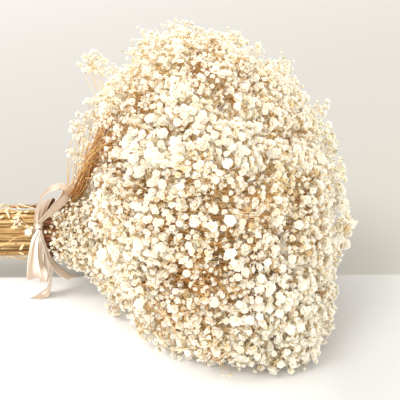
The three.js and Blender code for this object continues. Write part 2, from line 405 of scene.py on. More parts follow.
def fan_curve(place, middle, steps):
    """A strand from the end of the bundle to the underside of its cloud, and its last direction."""
    start = Vector((FAN_START, place.x, place.y))
    ray = fan_ray(middle.lerp(place, STRAND_SPREAD))
    reach = CLOUD_START * min(head_reach(ray), to_table(ray)) - STRAND_SHORT
    edge = to_ball(FAN_CENTRE + ray * head_reach(ray) - HEAD_CENTRE).normalized()
    end = HEAD_CENTRE + (FAN_CENTRE + ray * reach - HEAD_CENTRE) * (1 + HOLLOW_PULL * min(swelling(edge), 0))
    slack = FAN_SLACK * (end - start).length
    return bezier(start, start + Vector((slack, 0, 0)), end - ray * slack, end, steps), ray


# %% [markdown]
# ## Round twigs along a path
#
# A twig is a tube that tapers along a bent path. Blender's curve objects could make it, but then
# thousands of twigs would each be a curve. Here one short closed tube is made with mesh
# operators for every number of rings, and each twig is a copy of it whose rings are moved to the
# path. Each copy also stores two numbers on its points for the materials: a tint that is the
# same for the whole twig, and a knot value that is 1 at a swollen joint. On the stems the knot
# value also paints shade past the tie.

# %% Tubes
tube_forms = {}


def tube_form(rings, sides):
    """A closed tube, with the ring and the angle of each of its points."""
    bm = bmesh.new()
    bmesh.ops.create_cone(
        bm, cap_ends=True, segments=sides, radius1=1, radius2=1, depth=rings - 1
    )
    upright = [e for e in bm.edges if abs(e.verts[0].co.z - e.verts[1].co.z) > 0.5]
    if rings > 2:
        bmesh.ops.subdivide_edges(bm, edges=upright, cuts=rings - 2, use_grid_fill=True)
    for face in bm.faces:
        face.smooth = len(face.verts) == 4
    for name in ("tint", "knot"):
        bm.verts.layers.float.new(name)
    mesh = bpy.data.meshes.new("tube_form")
    bm.to_mesh(mesh)
    bm.free()
    co = np.array([v.co for v in mesh.vertices])
    ring = np.rint(co[:, 2] + (rings - 1) / 2).astype(int)
    turn = np.arctan2(co[:, 1], co[:, 0])
    return mesh, ring, np.cos(turn)[:, None], np.sin(turn)[:, None]


def tube(bm, points, radii, sides, tint, joints_and_painted_shade=None):
    """Adds a round twig to a mesh."""
    key = (len(points), sides)
    if key not in tube_forms:
        tube_forms[key] = tube_form(*key)
    mesh, ring, cosine, sine = tube_forms[key]
    path = np.array([tuple(p) for p in points])
    along = np.gradient(path, axis=0)
    along /= np.linalg.norm(along, axis=1)[:, None]
    chord = path[-1] - path[0]
    aside = np.zeros(3)
    aside[np.argmin(np.abs(chord))] = 1
    across = np.cross(aside, along)
    across /= np.linalg.norm(across, axis=1)[:, None]
    over = np.cross(along, across)
    size = np.array(radii)[ring, None]
    place = path[ring] + size * (cosine * across[ring] + sine * over[ring])
    mesh.vertices.foreach_set("co", place.ravel())
    mesh.attributes["tint"].data.foreach_set("value", np.full(len(ring), tint))
    joints_and_painted_shade = np.zeros(len(points)) if joints_and_painted_shade is None else np.array(joints_and_painted_shade, float)
    mesh.attributes["knot"].data.foreach_set("value", joints_and_painted_shade[ring])
    bm.from_mesh(mesh)


def piece(name, bm, finish, slot, *nodes):
    """A finished piece: moved to the frame's place, riding on the one body."""
    bmesh.ops.transform(bm, matrix=TO_FRAME, verts=bm.verts)
    mesh = bpy.data.meshes.new(name)
    bm.to_mesh(mesh)
    bm.free()
    mesh.materials.append(finish)
    made = bpy.data.objects.new(name, mesh)
    scene.collection.objects.link(made)
    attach(made, "root")
    if nodes:
        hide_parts(*nodes)
    return made


# %% [markdown]
# ## Finishes of straw and twig
#
# Dried stems are the colour of straw, with long streaks, fine ribs and darker joints. Past the tie
# they are browner still, which is painted shade. The streaks are noise that is stretched along the
# bundle. The twigs are thinner, smoother and more golden.

# %% Straw
STREAK_STRETCH = (26, 560, 560)  # how many streaks there are in a metre, along and across
RIB_STRETCH = (80, 1700, 1700)
OLD_STRAW, JOINT_BROWN_AND_PAINTED_SHADE = (0.46, 0.25, 0.09, 1), (0.25, 0.10, 0.035, 1)
straw, tree, shader = material("straw", 0.55)
streaks = noise(tree, 1.0, 4.0, STREAK_STRETCH)
patches = noise(tree, 60.0, 2.0)
colour = ramp(
    tree, streaks,
    (0.30, (0.21, 0.10, 0.027)), (0.43, (0.41, 0.24, 0.075)),
    (0.56, (0.57, 0.38, 0.145)), (0.72, (0.74, 0.60, 0.34)),
)
by_strand = ramp(
    tree, attribute(tree, "tint"),
    (0.0, (0.66, 0.54, 0.41)), (0.4, (0.86, 0.80, 0.70)), (1.0, (0.92, 0.91, 0.90)),
)
colour = blend(tree, 1.0, colour, by_strand, "MULTIPLY")
# Random patches of older straw, which are the stems' own colour.
old_patch_and_painted_shade = ramp(tree, patches, (0.50, (0, 0, 0)), (0.70, (0.5, 0.5, 0.5)))
colour = blend(tree, old_patch_and_painted_shade, colour, OLD_STRAW)
# The knot value paints the joints' own darker brown, and past the tie it paints shade on the stems.
colour = blend(tree, attribute(tree, "knot"), colour, JOINT_BROWN_AND_PAINTED_SHADE)
tree.links.new(colour, shader.inputs["Base Color"])
ribs = noise(tree, 1.0, 3.0, RIB_STRETCH)
bump(tree, shader, ribs, 0.9, 0.0008)
rough = node(tree, "MapRange", _0=streaks, _1=0.3, _2=0.7, _3=0.68, _4=0.45).outputs[0]
tree.links.new(rough, shader.inputs["Roughness"])

# %% Twig
MOTTLE_BROWN = (0.47, 0.22, 0.05, 1)
twig_finish, tree, shader = material("twig", 0.6)
colour = ramp(
    tree, attribute(tree, "tint"),
    (0.0, (0.38, 0.14, 0.03)), (0.35, (0.68, 0.36, 0.10)),
    (0.7, (0.85, 0.59, 0.26)), (1.0, (0.90, 0.76, 0.47)),
)
mottle = ramp(tree, noise(tree, 260.0, 3.0), (0.35, (0.4, 0.4, 0.4)), (0.60, (0, 0, 0)))
colour = blend(tree, mottle, colour, MOTTLE_BROWN)
tree.links.new(colour, shader.inputs["Base Color"])
bump(tree, shader, noise(tree, 1500.0, 2.0), 0.4, 0.0002)

# %% [markdown]
# ## The stems
#
# A stem is cut at its foot, swells at its joints and forks twice before the tie. Each strand is
# one tube. It wanders a little from its packed place, as a dried stalk does, and the path gets
# three close rings at every joint so that the swelling has somewhere to show.

# %% Stem measures
CUT_LENGTH, CUT_SCATTER = 185, 12  # how far below the tie the stems are cut, and how unevenly
FORK_FIRST, FORK_SCATTER, FORK_LENGTH = 22, 50, 14  # where the forks are, from the foot
FOOT_RADIUS, MAIN_RADIUS, SHOOT_RADIUS, TIP_RADIUS = 3.0, 2.45, 2.3, 1.0
STALK_SIDES = 8
RING_SPACING = 9.0
JOINT_SPACING = 46
JOINT_HALF, JOINT_SWELL = 2.6, 1.22  # half a joint's length, and how much thicker it is
LAST_JOINT = -14  # no joint shows nearer to the ribbon than this
RING_LEAST = 0.8  # rings closer together than this are left out
FOOT_FADE = 2.2  # a stalk has its usual thickness after one part in this many of its length
SETTLE = 12  # it stops wandering over this length before the fan
PAINTED_SHADE_FROM = -3  # painted shade: the stems are browner from here on, where the ribbon and the head shade them
# How dark the stems are: past the tie as painted shade, and at joints and forks in their own colour.
PAINTED_SHADE_PAST_TIE, JOINT_DARK, FORK_DARK = 1.0, 0.8, 0.6


def scatter(n):
    """The engineering model's repeatable number from 0 to 1 for a whole number."""
    s = math.sin(n * 12.9898 + 4.137) * 43758.5453
    return s - math.floor(s)


def wander(x, seed):
    """How far a stalk strays from its place at x: a long and a short wave, sideways and upwards."""
    return Vector((
        0,
        math.sin(x / 17 + seed) * 0.5 + math.sin(x / 7.3 + 2.1 * seed) * 0.2,
        math.cos(x / 15 + 1.7 * seed) * 0.5 + math.sin(x / 6.1 + seed) * 0.2,
    ))


# %% One stalk
def stalk(bm, place, begin, origin, fan, foot_radius, radius, tint):
    """One strand: from its foot or fork, through the bundle and out along its curve."""
    seed = chance.uniform(0, 40)
    plump = chance.uniform(0.84, 1.06)
    first = begin + (FORK_LENGTH if origin is not None else 0)
    joints = []
    x = first + chance.uniform(12, JOINT_SPACING)
    while x < LAST_JOINT:
        joints.append(x)
        x += JOINT_SPACING * chance.uniform(0.7, 1.3)
    spaced = set(np.arange(first + RING_SPACING, FAN_START - 4, RING_SPACING))
    swollen = {j + d for j in joints for d in (-JOINT_HALF, 0, JOINT_HALF)}
    marks = sorted({first} | spaced | swollen)
    marks = [m for i, m in enumerate(marks) if i == 0 or m - marks[i - 1] > RING_LEAST]
    points, radii, joints_and_painted_shade = [], [], []
    if origin is not None:
        points.append(Vector((begin, origin.x, origin.y)))
        radii.append(radius * 0.9)
        joints_and_painted_shade.append(FORK_DARK)
    for m in marks:
        at_joint = any(abs(m - j) < 0.5 for j in joints)
        share = (m - first) / (FAN_START - first)
        base = foot_radius + (radius - foot_radius) * min(share * FOOT_FADE, 1)
        points.append(Vector((m, place.x, place.y)) + wander(m, seed) * min(1, (FAN_START - m) / SETTLE))
        radii.append(base * plump * (JOINT_SWELL if at_joint else chance.uniform(0.92, 1.05)))
        # Joints are darker in their own colour; past the tie the stems get painted shade.
        joints_and_painted_shade.append(JOINT_DARK if at_joint else PAINTED_SHADE_PAST_TIE * float(m > PAINTED_SHADE_FROM))
    for k, point in enumerate(fan):
        t = k / (len(fan) - 1)
        points.append(point + jitter(0.5) * (4 * t * (1 - t)))
        radii.append(radius + (TIP_RADIUS - radius) * t**0.45)
        # The painted shade fades out along the first part of the fan.
        joints_and_painted_shade.append(PAINTED_SHADE_PAST_TIE * max(0.0, 1 - 1.6 * t))
    tube(bm, points, radii, STALK_SIDES, tint, joints_and_painted_shade)


# %% All the stems
FAN_STEPS = 14  # how many steps a strand's curve has
fan_ends = []  # for each strand: its stem, its curve and its last direction
stem_meshes = []
for index, (middle, places) in enumerate(stems):
    bm = bmesh.new()
    cut = -CUT_LENGTH + CUT_SCATTER * (scatter(index) - 0.5)
    for k, place in enumerate(places):
        curve, ray = fan_curve(place, middle, FAN_STEPS)
        tint = chance.random()
        if k == 0:
            stalk(bm, place, cut, None, curve, FOOT_RADIUS, MAIN_RADIUS, tint)
        else:
            fork = cut + FORK_FIRST + FORK_SCATTER * scatter(100 + 7 * index + k - 1)
            stalk(bm, place, fork, places[0], curve, SHOOT_RADIUS, SHOOT_RADIUS, tint)
        lump = fan_ray(place)
        fan_ends.append({"stem": index, "place": place, "curve": curve, "ray": ray, "lump": lump})
    stem_meshes.append(bm)
for index, bm in enumerate(stem_meshes):
    piece(f"strands_{index + 1:02d}", bm, straw, "dried_stem", f"stem_{index + 1:02d}")
print("strands:", len(fan_ends))

# %% [markdown]
# ## The blossoms
#
# A double blossom of gypsophila is a pompom some five to eight millimetres across: a small green
# calyx, and whorls of petals that stand ever more upright towards the middle. More than twenty
# thousand are needed, so each petal is a single face. One petal is made from a grid, copied round
# with spin, and every corner is then nudged, because dried petals are crumpled. A few different
# masters, turned and sized for each copy, are enough to hide the repetition. A half-open blossom
# is a cup of five petals round a closed heart, and a bud is a small ball.

# %% Petals
PETAL_FOOT = 0.5  # a petal's width at its foot, as a share of its width at the rim


def whorl(bm, count, root, length, width, lean, turn):
    """A ring of petals. lean is the petals' angle from the blossom's axis, in degrees."""
    reach = bm.verts.layers.float["reach"]
    made = bmesh.ops.create_grid(bm, x_segments=1, y_segments=1, size=0.5)["verts"]
    angle = math.radians(lean)
    rim = (root[0] + length * math.sin(angle), root[1] + length * math.cos(angle))
    for v in made:
        at_rim = v.co.y > 0
        v[reach] = float(at_rim)
        half = width * (1 if at_rim else PETAL_FOOT) / 2
        v.co = Vector((math.copysign(half, v.co.x), *(rim if at_rim else root)))
    edges = list({e for v in made for e in v.link_edges})
    faces = list({f for v in made for f in v.link_faces})
    step = 2 * math.pi / count
    bmesh.ops.rotate(bm, verts=made, cent=(0, 0, 0), matrix=Matrix.Rotation(turn, 3, "Z"))
    bmesh.ops.spin(
        bm, geom=made + edges + faces, cent=(0, 0, 0), axis=(0, 0, 1), angle=step * (count - 1),
        steps=count - 1, use_duplicate=True,
    )


def whorls(bm, rng, *rings):
    """Rings of petals, each as (petals, foot, length, width, the least and the most lean)."""
    for count, root, length, width, lean in rings:
        whorl(bm, count, root, length, width, rng.uniform(*lean), rng.uniform(0, 6))


def crumple(bm, rng, size):
    """Nudges the petals' corners, those at the rim the most."""
    reach = bm.verts.layers.float["reach"]
    for v in bm.verts:
        nudge = Vector((rng.uniform(-1, 1), rng.uniform(-1, 1), rng.uniform(-1, 1)))
        v.co += nudge * size * v[reach]


def blossom_form(name, build, seed):
    """A master blossom with a diameter of about 1, its stalk's end at the origin and +Z outwards."""
    rng = random.Random(seed)
    bm = bmesh.new()
    for layer in ("reach", "leafy", "tint"):
        bm.verts.layers.float.new(layer)
    build(bm, rng)
    for face in bm.faces:
        face.smooth = True
    mesh = bpy.data.meshes.new(name)
    bm.to_mesh(mesh)
    bm.free()
    co = np.array([v.co for v in mesh.vertices])
    return mesh, co


# %% The calyx and the heart
def calyx(bm, height, top, sides):
    """The green cup under the petals, closed at its foot and on top."""
    made = bmesh.ops.create_cone(
        bm, cap_ends=True, segments=sides, radius1=0, radius2=top, depth=height
    )["verts"]
    bmesh.ops.translate(bm, verts=made, vec=(0, 0, height / 2))
    leafy = bm.verts.layers.float["leafy"]
    for v in made:
        v[leafy] = 1.0 if v.co.z < height * 0.5 else 0.7


def heart(bm, radius, low, high, sides):
    """The innermost petals, which close the middle of a blossom."""
    made = bmesh.ops.create_cone(
        bm, segments=sides, radius1=radius, radius2=0, depth=high - low
    )["verts"]
    bmesh.ops.translate(bm, verts=made, vec=(0, 0, (low + high) / 2))
    reach = bm.verts.layers.float["reach"]
    for v in made:
        v[reach] = 0.9 if v.co.z > (low + high) / 2 else 0.6


# %% Four kinds of blossom
def double_blossom(bm, rng):
    """Three whorls, from nearly flat to nearly upright, round a pointed heart."""
    whorls(
        bm, rng,
        (6, (0.06, 0.18), 0.45, 0.52, (72, 90)),
        (5, (0.06, 0.24), 0.42, 0.42, (40, 52)),
        (4, (0.05, 0.28), 0.36, 0.30, (14, 22)),
    )
    heart(bm, 0.24, 0.36, 0.64, 5)
    crumple(bm, rng, 0.09)
    calyx(bm, 0.24, 0.13, 3)


def small_double(bm, rng):
    """Two whorls of broad petals."""
    whorls(bm, rng, (5, (0.05, 0.18), 0.47, 0.58, (60, 82)), (3, (0.03, 0.24), 0.44, 0.50, (20, 36)))
    crumple(bm, rng, 0.12)
    calyx(bm, 0.24, 0.14, 3)


def half_open(bm, rng):
    """A cup of petals, which has not spread yet."""
    whorls(bm, rng, (5, (0.09, 0.20), 0.56, 0.46, (28, 46)))
    heart(bm, 0.26, 0.34, 0.74, 3)
    crumple(bm, rng, 0.09)
    calyx(bm, 0.30, 0.15, 3)


def bud(bm, rng):
    """A closed ball, green below."""
    made = bmesh.ops.create_uvsphere(bm, u_segments=3, v_segments=3, radius=0.56)["verts"]
    reach, leafy = bm.verts.layers.float["reach"], bm.verts.layers.float["leafy"]
    for v in made:
        v[reach] = 0.6 + 0.8 * v.co.z
        v[leafy] = 0.9 if v.co.z < -0.2 else 0.0
        v.co = Vector((v.co.x * 0.84, v.co.y * 0.84, v.co.z * 1.05 + 0.45))
    crumple(bm, rng, 0.05)


doubles = [blossom_form(f"double_{k}", double_blossom, 30 + k) for k in range(6)]
small_doubles = [blossom_form(f"small_double_{k}", small_double, 40 + k) for k in range(6)]
cups = [blossom_form(f"cup_{k}", half_open, 50 + k) for k in range(4)]
buds = [blossom_form(f"bud_{k}", bud, 70 + k) for k in range(3)]
for form in (doubles[0], small_doubles[0], cups[0], buds[0]):
    print(form[0].name, len(form[0].polygons), "faces")


def add_blossom(bm, form, place, axis, size, tint):
    """Adds a copy of a master blossom to a mesh."""
    mesh, base = form
    about = Matrix.Rotation(chance.uniform(0, 2 * math.pi), 3, "Z")
    turn = axis.to_track_quat("Z", "Y").to_matrix() @ about
    co = base @ (np.array(turn).T * size) + np.array(place)
    mesh.vertices.foreach_set("co", co.ravel())
    mesh.attributes["tint"].data.foreach_set("value", np.full(len(base), tint))
    bm.from_mesh(mesh)


# %% [markdown]
# ## Petal finish
#
# A dried petal is cream, nearly white at its crumpled rim and warmer towards the calyx. That
# warmth is partly the petal's own colour and partly painted shade deep inside the blossom. Some
# blossoms have aged to beige, and the youngest are still greenish. Blossoms deep in the head and
# on its right front side are made beige as painted shade, and the dry buds in the gaps of a spray
# are beige partly as painted shade. The masters carry the numbers for this: reach runs from a
# petal's foot to its rim, leafy marks the calyx, and tint differs from blossom to blossom.

# %% Petal
SPECK_BEIGE, CALYX_GREEN = (0.84, 0.66, 0.40, 1), (0.60, 0.45, 0.19, 1)
SHINES_THROUGH = 0.45  # the share of the light that goes through a petal
petal, tree, shader = material("petal", 0.7)
# The warm petal foot is partly the petal's own colour and partly painted shade deep inside the blossom.
colour = ramp(
    tree, attribute(tree, "reach"),
    (0.0, (0.87, 0.70, 0.38)), (0.3, (0.945, 0.90, 0.76)),
    (0.6, (0.955, 0.94, 0.885)), (1.0, (0.955, 0.95, 0.935)),
)
# Low tints give aged beige, and also painted shade on the deep inner sprays, the dry buds in the gaps and
# the head's shaded side.
age_and_painted_shade = ramp(
    tree, attribute(tree, "tint"),
    (0.0, (0.80, 0.56, 0.27)), (0.18, (0.92, 0.76, 0.48)), (0.36, (0.965, 0.92, 0.80)), (0.55, (1, 1, 1)),
    (0.80, (1, 1, 1)), (0.88, (0.96, 0.97, 0.90)), (1.0, (0.82, 0.85, 0.62)),
)
colour = blend(tree, 1.0, colour, age_and_painted_shade, "MULTIPLY")
specks = ramp(tree, noise(tree, 700.0, 3.0), (0.58, (0, 0, 0)), (0.78, (0.3, 0.3, 0.3)))
colour = blend(tree, specks, colour, SPECK_BEIGE)
colour = blend(tree, attribute(tree, "leafy"), colour, CALYX_GREEN)
tree.links.new(colour, shader.inputs["Base Color"])
bump(tree, shader, noise(tree, 1400.0, 3.0), 0.5, 0.0004)
shader.inputs["Sheen Weight"].default_value = 0.2
through_colour = blend(tree, 1.0, colour, (0.985, 0.95, 0.82, 1), "MULTIPLY")
through_petal = node(tree, "BsdfTranslucent", Color=through_colour)
both = node(tree, "MixShader", _0=SHINES_THROUGH, _1=shader.outputs[0], _2=through_petal.outputs[0])
tree.links.new(both.outputs[0], tree.nodes["Material Output"].inputs["Surface"])

# %% [markdown]
# ## Where the sprays sit
#
# Blossoms sit in loose sprays on the outside of the head, and more of them deeper in. Spray
# places are drawn at random and kept only when they are far enough from the ones before, which
# gives an even but natural spread. Neighbouring sprays bulge together into cushions, with valleys
# between them where the golden twigs show. Each spray belongs to the strand whose direction is
# nearest, so that every strand's twigs stay on its own side of the head.

# %% Places that keep their distance
lump_rays = np.array([tuple(e["lump"]) for e in fan_ends])


def nearest_strand(place):
    """The strand that leads to a place."""
    ray = (place - FAN_CENTRE).normalized()
    return int(np.argmax(lump_rays @ np.array(ray)))


class Crowd:
    """Places that keep their distance from each other."""

    def __init__(self, apart):
        self.apart, self.cells = apart, {}

    def cell(self, p):
        return tuple(int(math.floor(c / self.apart)) for c in p)

    def fits(self, p):
        x, y, z = self.cell(p)
        return all(
            (p - q).length >= self.apart
            for i in (-1, 0, 1) for j in (-1, 0, 1) for k in (-1, 0, 1)
            for q in self.cells.get((x + i, y + j, z + k), ())
        )

    def add(self, p):
        self.cells.setdefault(self.cell(p), []).append(p)


def on_ball():
    """A random direction."""
    z, a = chance.uniform(-1, 1), chance.uniform(0, 2 * math.pi)
    r = math.sqrt(1 - z * z)
    return Vector((r * math.cos(a), r * math.sin(a), z))


# %% Cushions and bare patches
PATCHES = [  # a direction, its reach in degrees, more open, the share kept, larger, and whiter; below zero, whiter is painted shade
    ((0.27, -0.95, -0.18), 15, 0.35, 1, 1.10, 0.1), ((0.37, -0.77, -0.52), 12, 0.35, 1, 1.10, 0.1),
    ((0.45, -0.82, -0.35), 12, 0.30, 1, 1.10, 0.1), ((-0.04, -0.68, 0.73), 10, 0.40, 1, 1.35, 0.1),
    ((0.66, -0.22, 0.71), 12, 0.25, 1, 1.10, 0.05), ((-0.40, -0.72, 0.57), 8, 0.45, 1, 1.35, 0.1),
    ((-0.41, -0.90, 0.12), 9, 0.30, 1, 1.15, 0.1), ((0.23, -0.81, 0.53), 10, 0.30, 1, 1.15, 0.1),
    ((0.31, -0.25, 0.92), 9, 0.20, 1, 1.0, 0.1), ((-0.62, -0.76, 0.18), 14, 0.15, 1, 0.95, 0.1),
    # Below zero, whiter makes the blossoms round the bare patches beige, as painted shade.
    ((-0.27, -0.95, -0.11), 9, -0.10, 0.0, 0.95, -0.1), ((-0.45, -0.81, -0.36), 6, -0.15, 0.05, 0.85, -0.1),
    ((-0.36, -0.82, -0.43), 6, -0.15, 0.05, 0.85, -0.1), ((-0.06, -0.98, -0.12), 6, -0.20, 0.3, 0.85, -0.1),
    ((-0.11, -0.89, -0.43), 6, -0.15, 0.1, 0.85, -0.1), ((0.0, -1.0, 0.0), 7, -0.1, 0.0, 0.95, -0.1),
    ((0.30, -0.92, 0.24), 5, -0.2, 0.3, 0.9, -0.3), ((-0.51, -0.82, 0.26), 6, -0.25, 0.5, 0.85, -0.2),
    ((-0.03, -0.93, 0.37), 8, -0.15, 0.7, 0.9, -0.15), ((-0.71, -0.38, 0.60), 9, -0.25, 0.0, 0.85, -0.1),
    ((-0.58, -0.54, 0.60), 7, -0.15, 0.05, 0.85, 0.0), ((-0.85, -0.32, 0.42), 4, -0.10, 0.30, 0.85, 0.0),
    ((-0.90, -0.30, 0.31), 4, -0.10, 0.30, 0.85, 0.0), ((-0.80, -0.48, 0.36), 4, 0.35, 1, 1.3, 0.1),
    ((-0.47, -0.70, 0.53), 5, 0.40, 1, 1.4, 0.1), ((0.22, -0.70, 0.66), 6, 0.40, 1, 1.3, 0.1),
    # These two make the head's right front side beige, as painted shade.
    ((0.55, -0.75, 0.35), 17, -0.05, 1, 0.95, -0.14), ((0.57, -0.82, -0.03), 8, 0.0, 1, 0.95, -0.14),
]
BARE = [(centre, degrees) for centre, degrees, _, kept, _, _ in PATCHES if kept < 0.5]
FULL_PATCHES = 10  # the first patches are full cushions
CUSHION_APART, CUSHION_TRIES = 14, 1500
cushions = [(Vector(centre), degrees * 1.15, 0.075) for centre, degrees, *_ in PATCHES[:FULL_PATCHES]]
for _ in range(CUSHION_TRIES):
    direction = on_ball()
    if all(direction.angle(other) > math.radians(CUSHION_APART) for other, _, _ in cushions):
        cushions.append((direction, chance.uniform(8, 12), chance.uniform(0.045, 0.085)))
cushion_rays = np.array([tuple(c[0]) for c in cushions])
cushion_reach = np.array([c[1] for c in cushions])
cushion_height = np.array([c[2] for c in cushions])
print("cushions:", len(cushions))


def cushion_at(direction):
    """How high the cushions stand in a direction, how near it is to the middle of one, and that middle."""
    angles = np.degrees(np.arccos(np.clip(cushion_rays @ np.array(direction), -1, 1)))
    inside = np.maximum(1 - (angles / cushion_reach) ** 2, 0)
    heights = cushion_height * np.sqrt(inside)
    best = int(np.argmax(heights))
    return heights[best], inside[best], Vector(cushion_rays[best])


# %% Spray places
SPRAY_APART = 14.3
ABOVE_TABLE = 9  # how high a spray's place is above the table, at the least
LOWEST = -0.86  # no spray sits straight under the head, where it rests
CUSHION_SINK = 0.05
FAN_SIDE = 0.93  # how near to the fan no spray sits
CROWN_TRIES, INNER_TRIES = 13000, 900
crowd = Crowd(SPRAY_APART)
towards_fan = to_ball(FAN_CENTRE - HEAD_CENTRE)
sprays = []


def add_spray(kind, place, out, opener, larger, whiter):
    """Notes a spray, and the strand that it belongs to."""
    sprays.append({
        "kind": kind, "place": place, "strand": nearest_strand(place), "out": out,
        "opener": opener, "larger": larger, "whiter": whiter,
    })


def try_spray(depth, kind):
    """Tries one random place at a share of the head's size."""
    direction = on_ball()
    if direction.dot(towards_fan) > FAN_SIDE:
        return
    high, inside, middle = cushion_at(direction)
    opener, larger, whiter = 0.15 * inside - 0.1, 1.0, 0.0
    if kind == "crown" and chance.random() > 0.75 + 1.5 * inside:
        return
    for centre, degrees, opens, kept, size, white in PATCHES:
        near = nearness(direction, centre, degrees)
        opener += near * opens
        larger *= size**near
        whiter += near * white
        if chance.random() < near * (1 - kept) * (1 if kind == "crown" else 0.7):
            return
    place = HEAD_CENTRE + from_ball(direction) * depth * (1 + swelling(direction) + high - CUSHION_SINK)
    if place.z < TABLE + ABOVE_TABLE:
        if direction.z < LOWEST:
            return
        place.z = TABLE + ABOVE_TABLE + chance.uniform(0, 3)
    if crowd.fits(place):
        crowd.add(place)
        aside = direction - middle * direction.dot(middle)
        spread = from_ball(aside).normalized() * (0.6 * (1 - inside)) * (high > 0)
        out = ((place - FAN_CENTRE).normalized() + spread).normalized()
        add_spray(kind, place, out, opener, larger, whiter)


for _ in range(CROWN_TRIES):
    try_spray(chance.uniform(0.94, 0.99), "crown")
crown_count = len(sprays)
for _ in range(INNER_TRIES):
    try_spray(chance.uniform(0.83, 0.90), "inner")
print("sprays:", crown_count, "in the crown and", len(sprays) - crown_count, "inside")

# %% [markdown]
# ## Sprays that stand out
#
# A bunch has no smooth outline: single sprays on long thin stalks stand out of it. Those that
# give the outline its character are given one by one, in a list. The others are drawn at random,
# far apart from each other, and only on the head's top, back and end.

# %% Sprays that stand out
OUTER_SPRAYS = [  # places from the tie, and how open the blossoms are there
    ((57, 15, 190), 0.6), ((68, 15, 195), 0.5), ((50, 16, 186), 0.6), ((62, 30, 180), 0.5),
    ((110, 26, 204), 0.5), ((113, 30, 210), 0.45), ((126, 33, 216), 0.5), ((150, 33, 219), 0.45),
    ((162, 30, 214), 0.5), ((178, 40, 208), 0.5), ((208, 30, 218), 0.5), ((218, 20, 212), 0.55),
    ((224, 24, 203), 0.6), ((196, 34, 210), 0.4), ((252, 17, 183), 0.6), ((266, 18, 184), 0.65),
    ((280, 13, 172), 0.6), ((303, -5, 124), 0.5), ((313, -8, 114), 0.45), ((308, -14, 99), 0.5),
    ((314, -20, 81), 0.4), ((312, 4, 104), 0.5), ((317, -28, 60), 0.8), ((324, -36, 40), 0.9),
    ((327, -40, 26), 0.85), ((321, -46, 12), 0.9), ((314, -30, 30), 0.7), ((312, -65, -43), 0.6),
    ((306, -80, -30), 0.6),
]
VERY_OPEN = 0.75
for spot, openness in OUTER_SPRAYS:
    place = Vector(spot) + jitter(2.5)
    larger = 1.75 if openness > VERY_OPEN else 0.95
    add_spray("outer", place, (place - FAN_CENTRE).normalized(), openness, larger, 0.1)

# %% Lone sprays
LONE_APART, LONE_TRIES = 34, 700
LONE_NONE = [((0.62, 0.25, 0.74), 24), ((-0.50, 0.26, 0.82), 30)]  # directions without any, and their reach
LONE_END, LONE_TOP, LONE_SIDE = 326, 230, 190  # how far out they may stand
lone = Crowd(LONE_APART)
for _ in range(LONE_TRIES):
    direction = on_ball()
    if direction.dot(towards_fan) > 0.65 or direction.z < -0.35 or direction.y < -0.45:
        continue
    if max(nearness(direction, centre, degrees) for centre, degrees in LONE_NONE) > 0.35:
        continue
    high, _, _ = cushion_at(direction)
    reach = 1.04 + swelling(direction) + high + chance.uniform(0, 0.07)
    place = HEAD_CENTRE + from_ball(direction) * reach
    too_far = place.x > LONE_END or place.z > LONE_TOP or abs(place.y + 30) > LONE_SIDE
    if too_far or not lone.fits(place):
        continue
    lone.add(place)
    add_spray("outer", place, (place - FAN_CENTRE).normalized(), chance.uniform(0.2, 0.7), 0.85, 0.1)
print("sprays that stand out:", sum(s["kind"] == "outer" for s in sprays))

# %% [markdown]
# ## Side sprays on the strands
#
# Lower down, the strands carry smaller side sprays, which hide most of the fan. Those next to the
# tie are the smallest and greenest, because the last flowers to open sit there.

# %% The neck and what stays clear of it
NECK_APART = 9.2
DOWNWARDS = Vector((0, -0.342, -0.94))  # where the neck stays slim
NECK_BELOW = (  # some places along the neck, and how far it reaches down there
    (14, 22, 36, 56, 80), (14, 19, 35, 39, 68)
)
NECK_END = 82
LOOP_BELOW = 15  # the sprays next to the tie stay below the ribbon's upper loop
neck = Crowd(NECK_APART)
side_sprays = []


def slim(place):
    """True where the underside of the neck has no sprays."""
    return place.x < NECK_END and place.dot(DOWNWARDS) > np.interp(place.x, *NECK_BELOW)


def near_loop(place):
    """True where a spray would be in the way of the ribbon's upper loop."""
    return place.z + 0.35 * max(place.y, 0) > LOOP_BELOW + 0.75 * place.x


def bare_share(place):
    """From 0 to 1, how bare the head is in a place's direction."""
    direction = to_ball(place - HEAD_CENTRE).normalized()
    return max(nearness(direction, centre, degrees) for centre, degrees in BARE)


# %% Side sprays
LOW_ENOUGH = TABLE + 5
HEAD_STARTS = 0.7  # in the head itself the crown's own sprays are enough
for number, end in enumerate(fan_ends):
    share_out = end["place"].length / bundle_radius
    curve = end["curve"]
    for _ in range(int(2 + 12 * share_out)):
        at = chance.uniform(0.2, 0.95)
        k = at * (len(curve) - 1)
        base = curve[int(k)].lerp(curve[min(int(k) + 1, len(curve) - 1)], k - int(k))
        heading = heading_at(curve, int(k))
        radial = Vector((0, end["place"].x, end["place"].y)).normalized()
        out = (heading * 0.55 + radial * 0.9 + on_ball() * 0.75).normalized()
        place = base + out * chance.uniform(12, 24) * (0.55 + 0.6 * at)
        if place.x < 7 or place.z < LOW_ENOUGH or slim(place) or chance.random() < 0.9 * bare_share(place):
            continue
        if to_ball(place - HEAD_CENTRE).length < HEAD_STARTS or near_loop(place):
            continue
        if neck.fits(place) and crowd.fits(place):
            neck.add(place)
            side_sprays.append({
                "place": place, "strand": number, "kind": "side", "out": out, "at": max(k - 1.2, 0),
            })

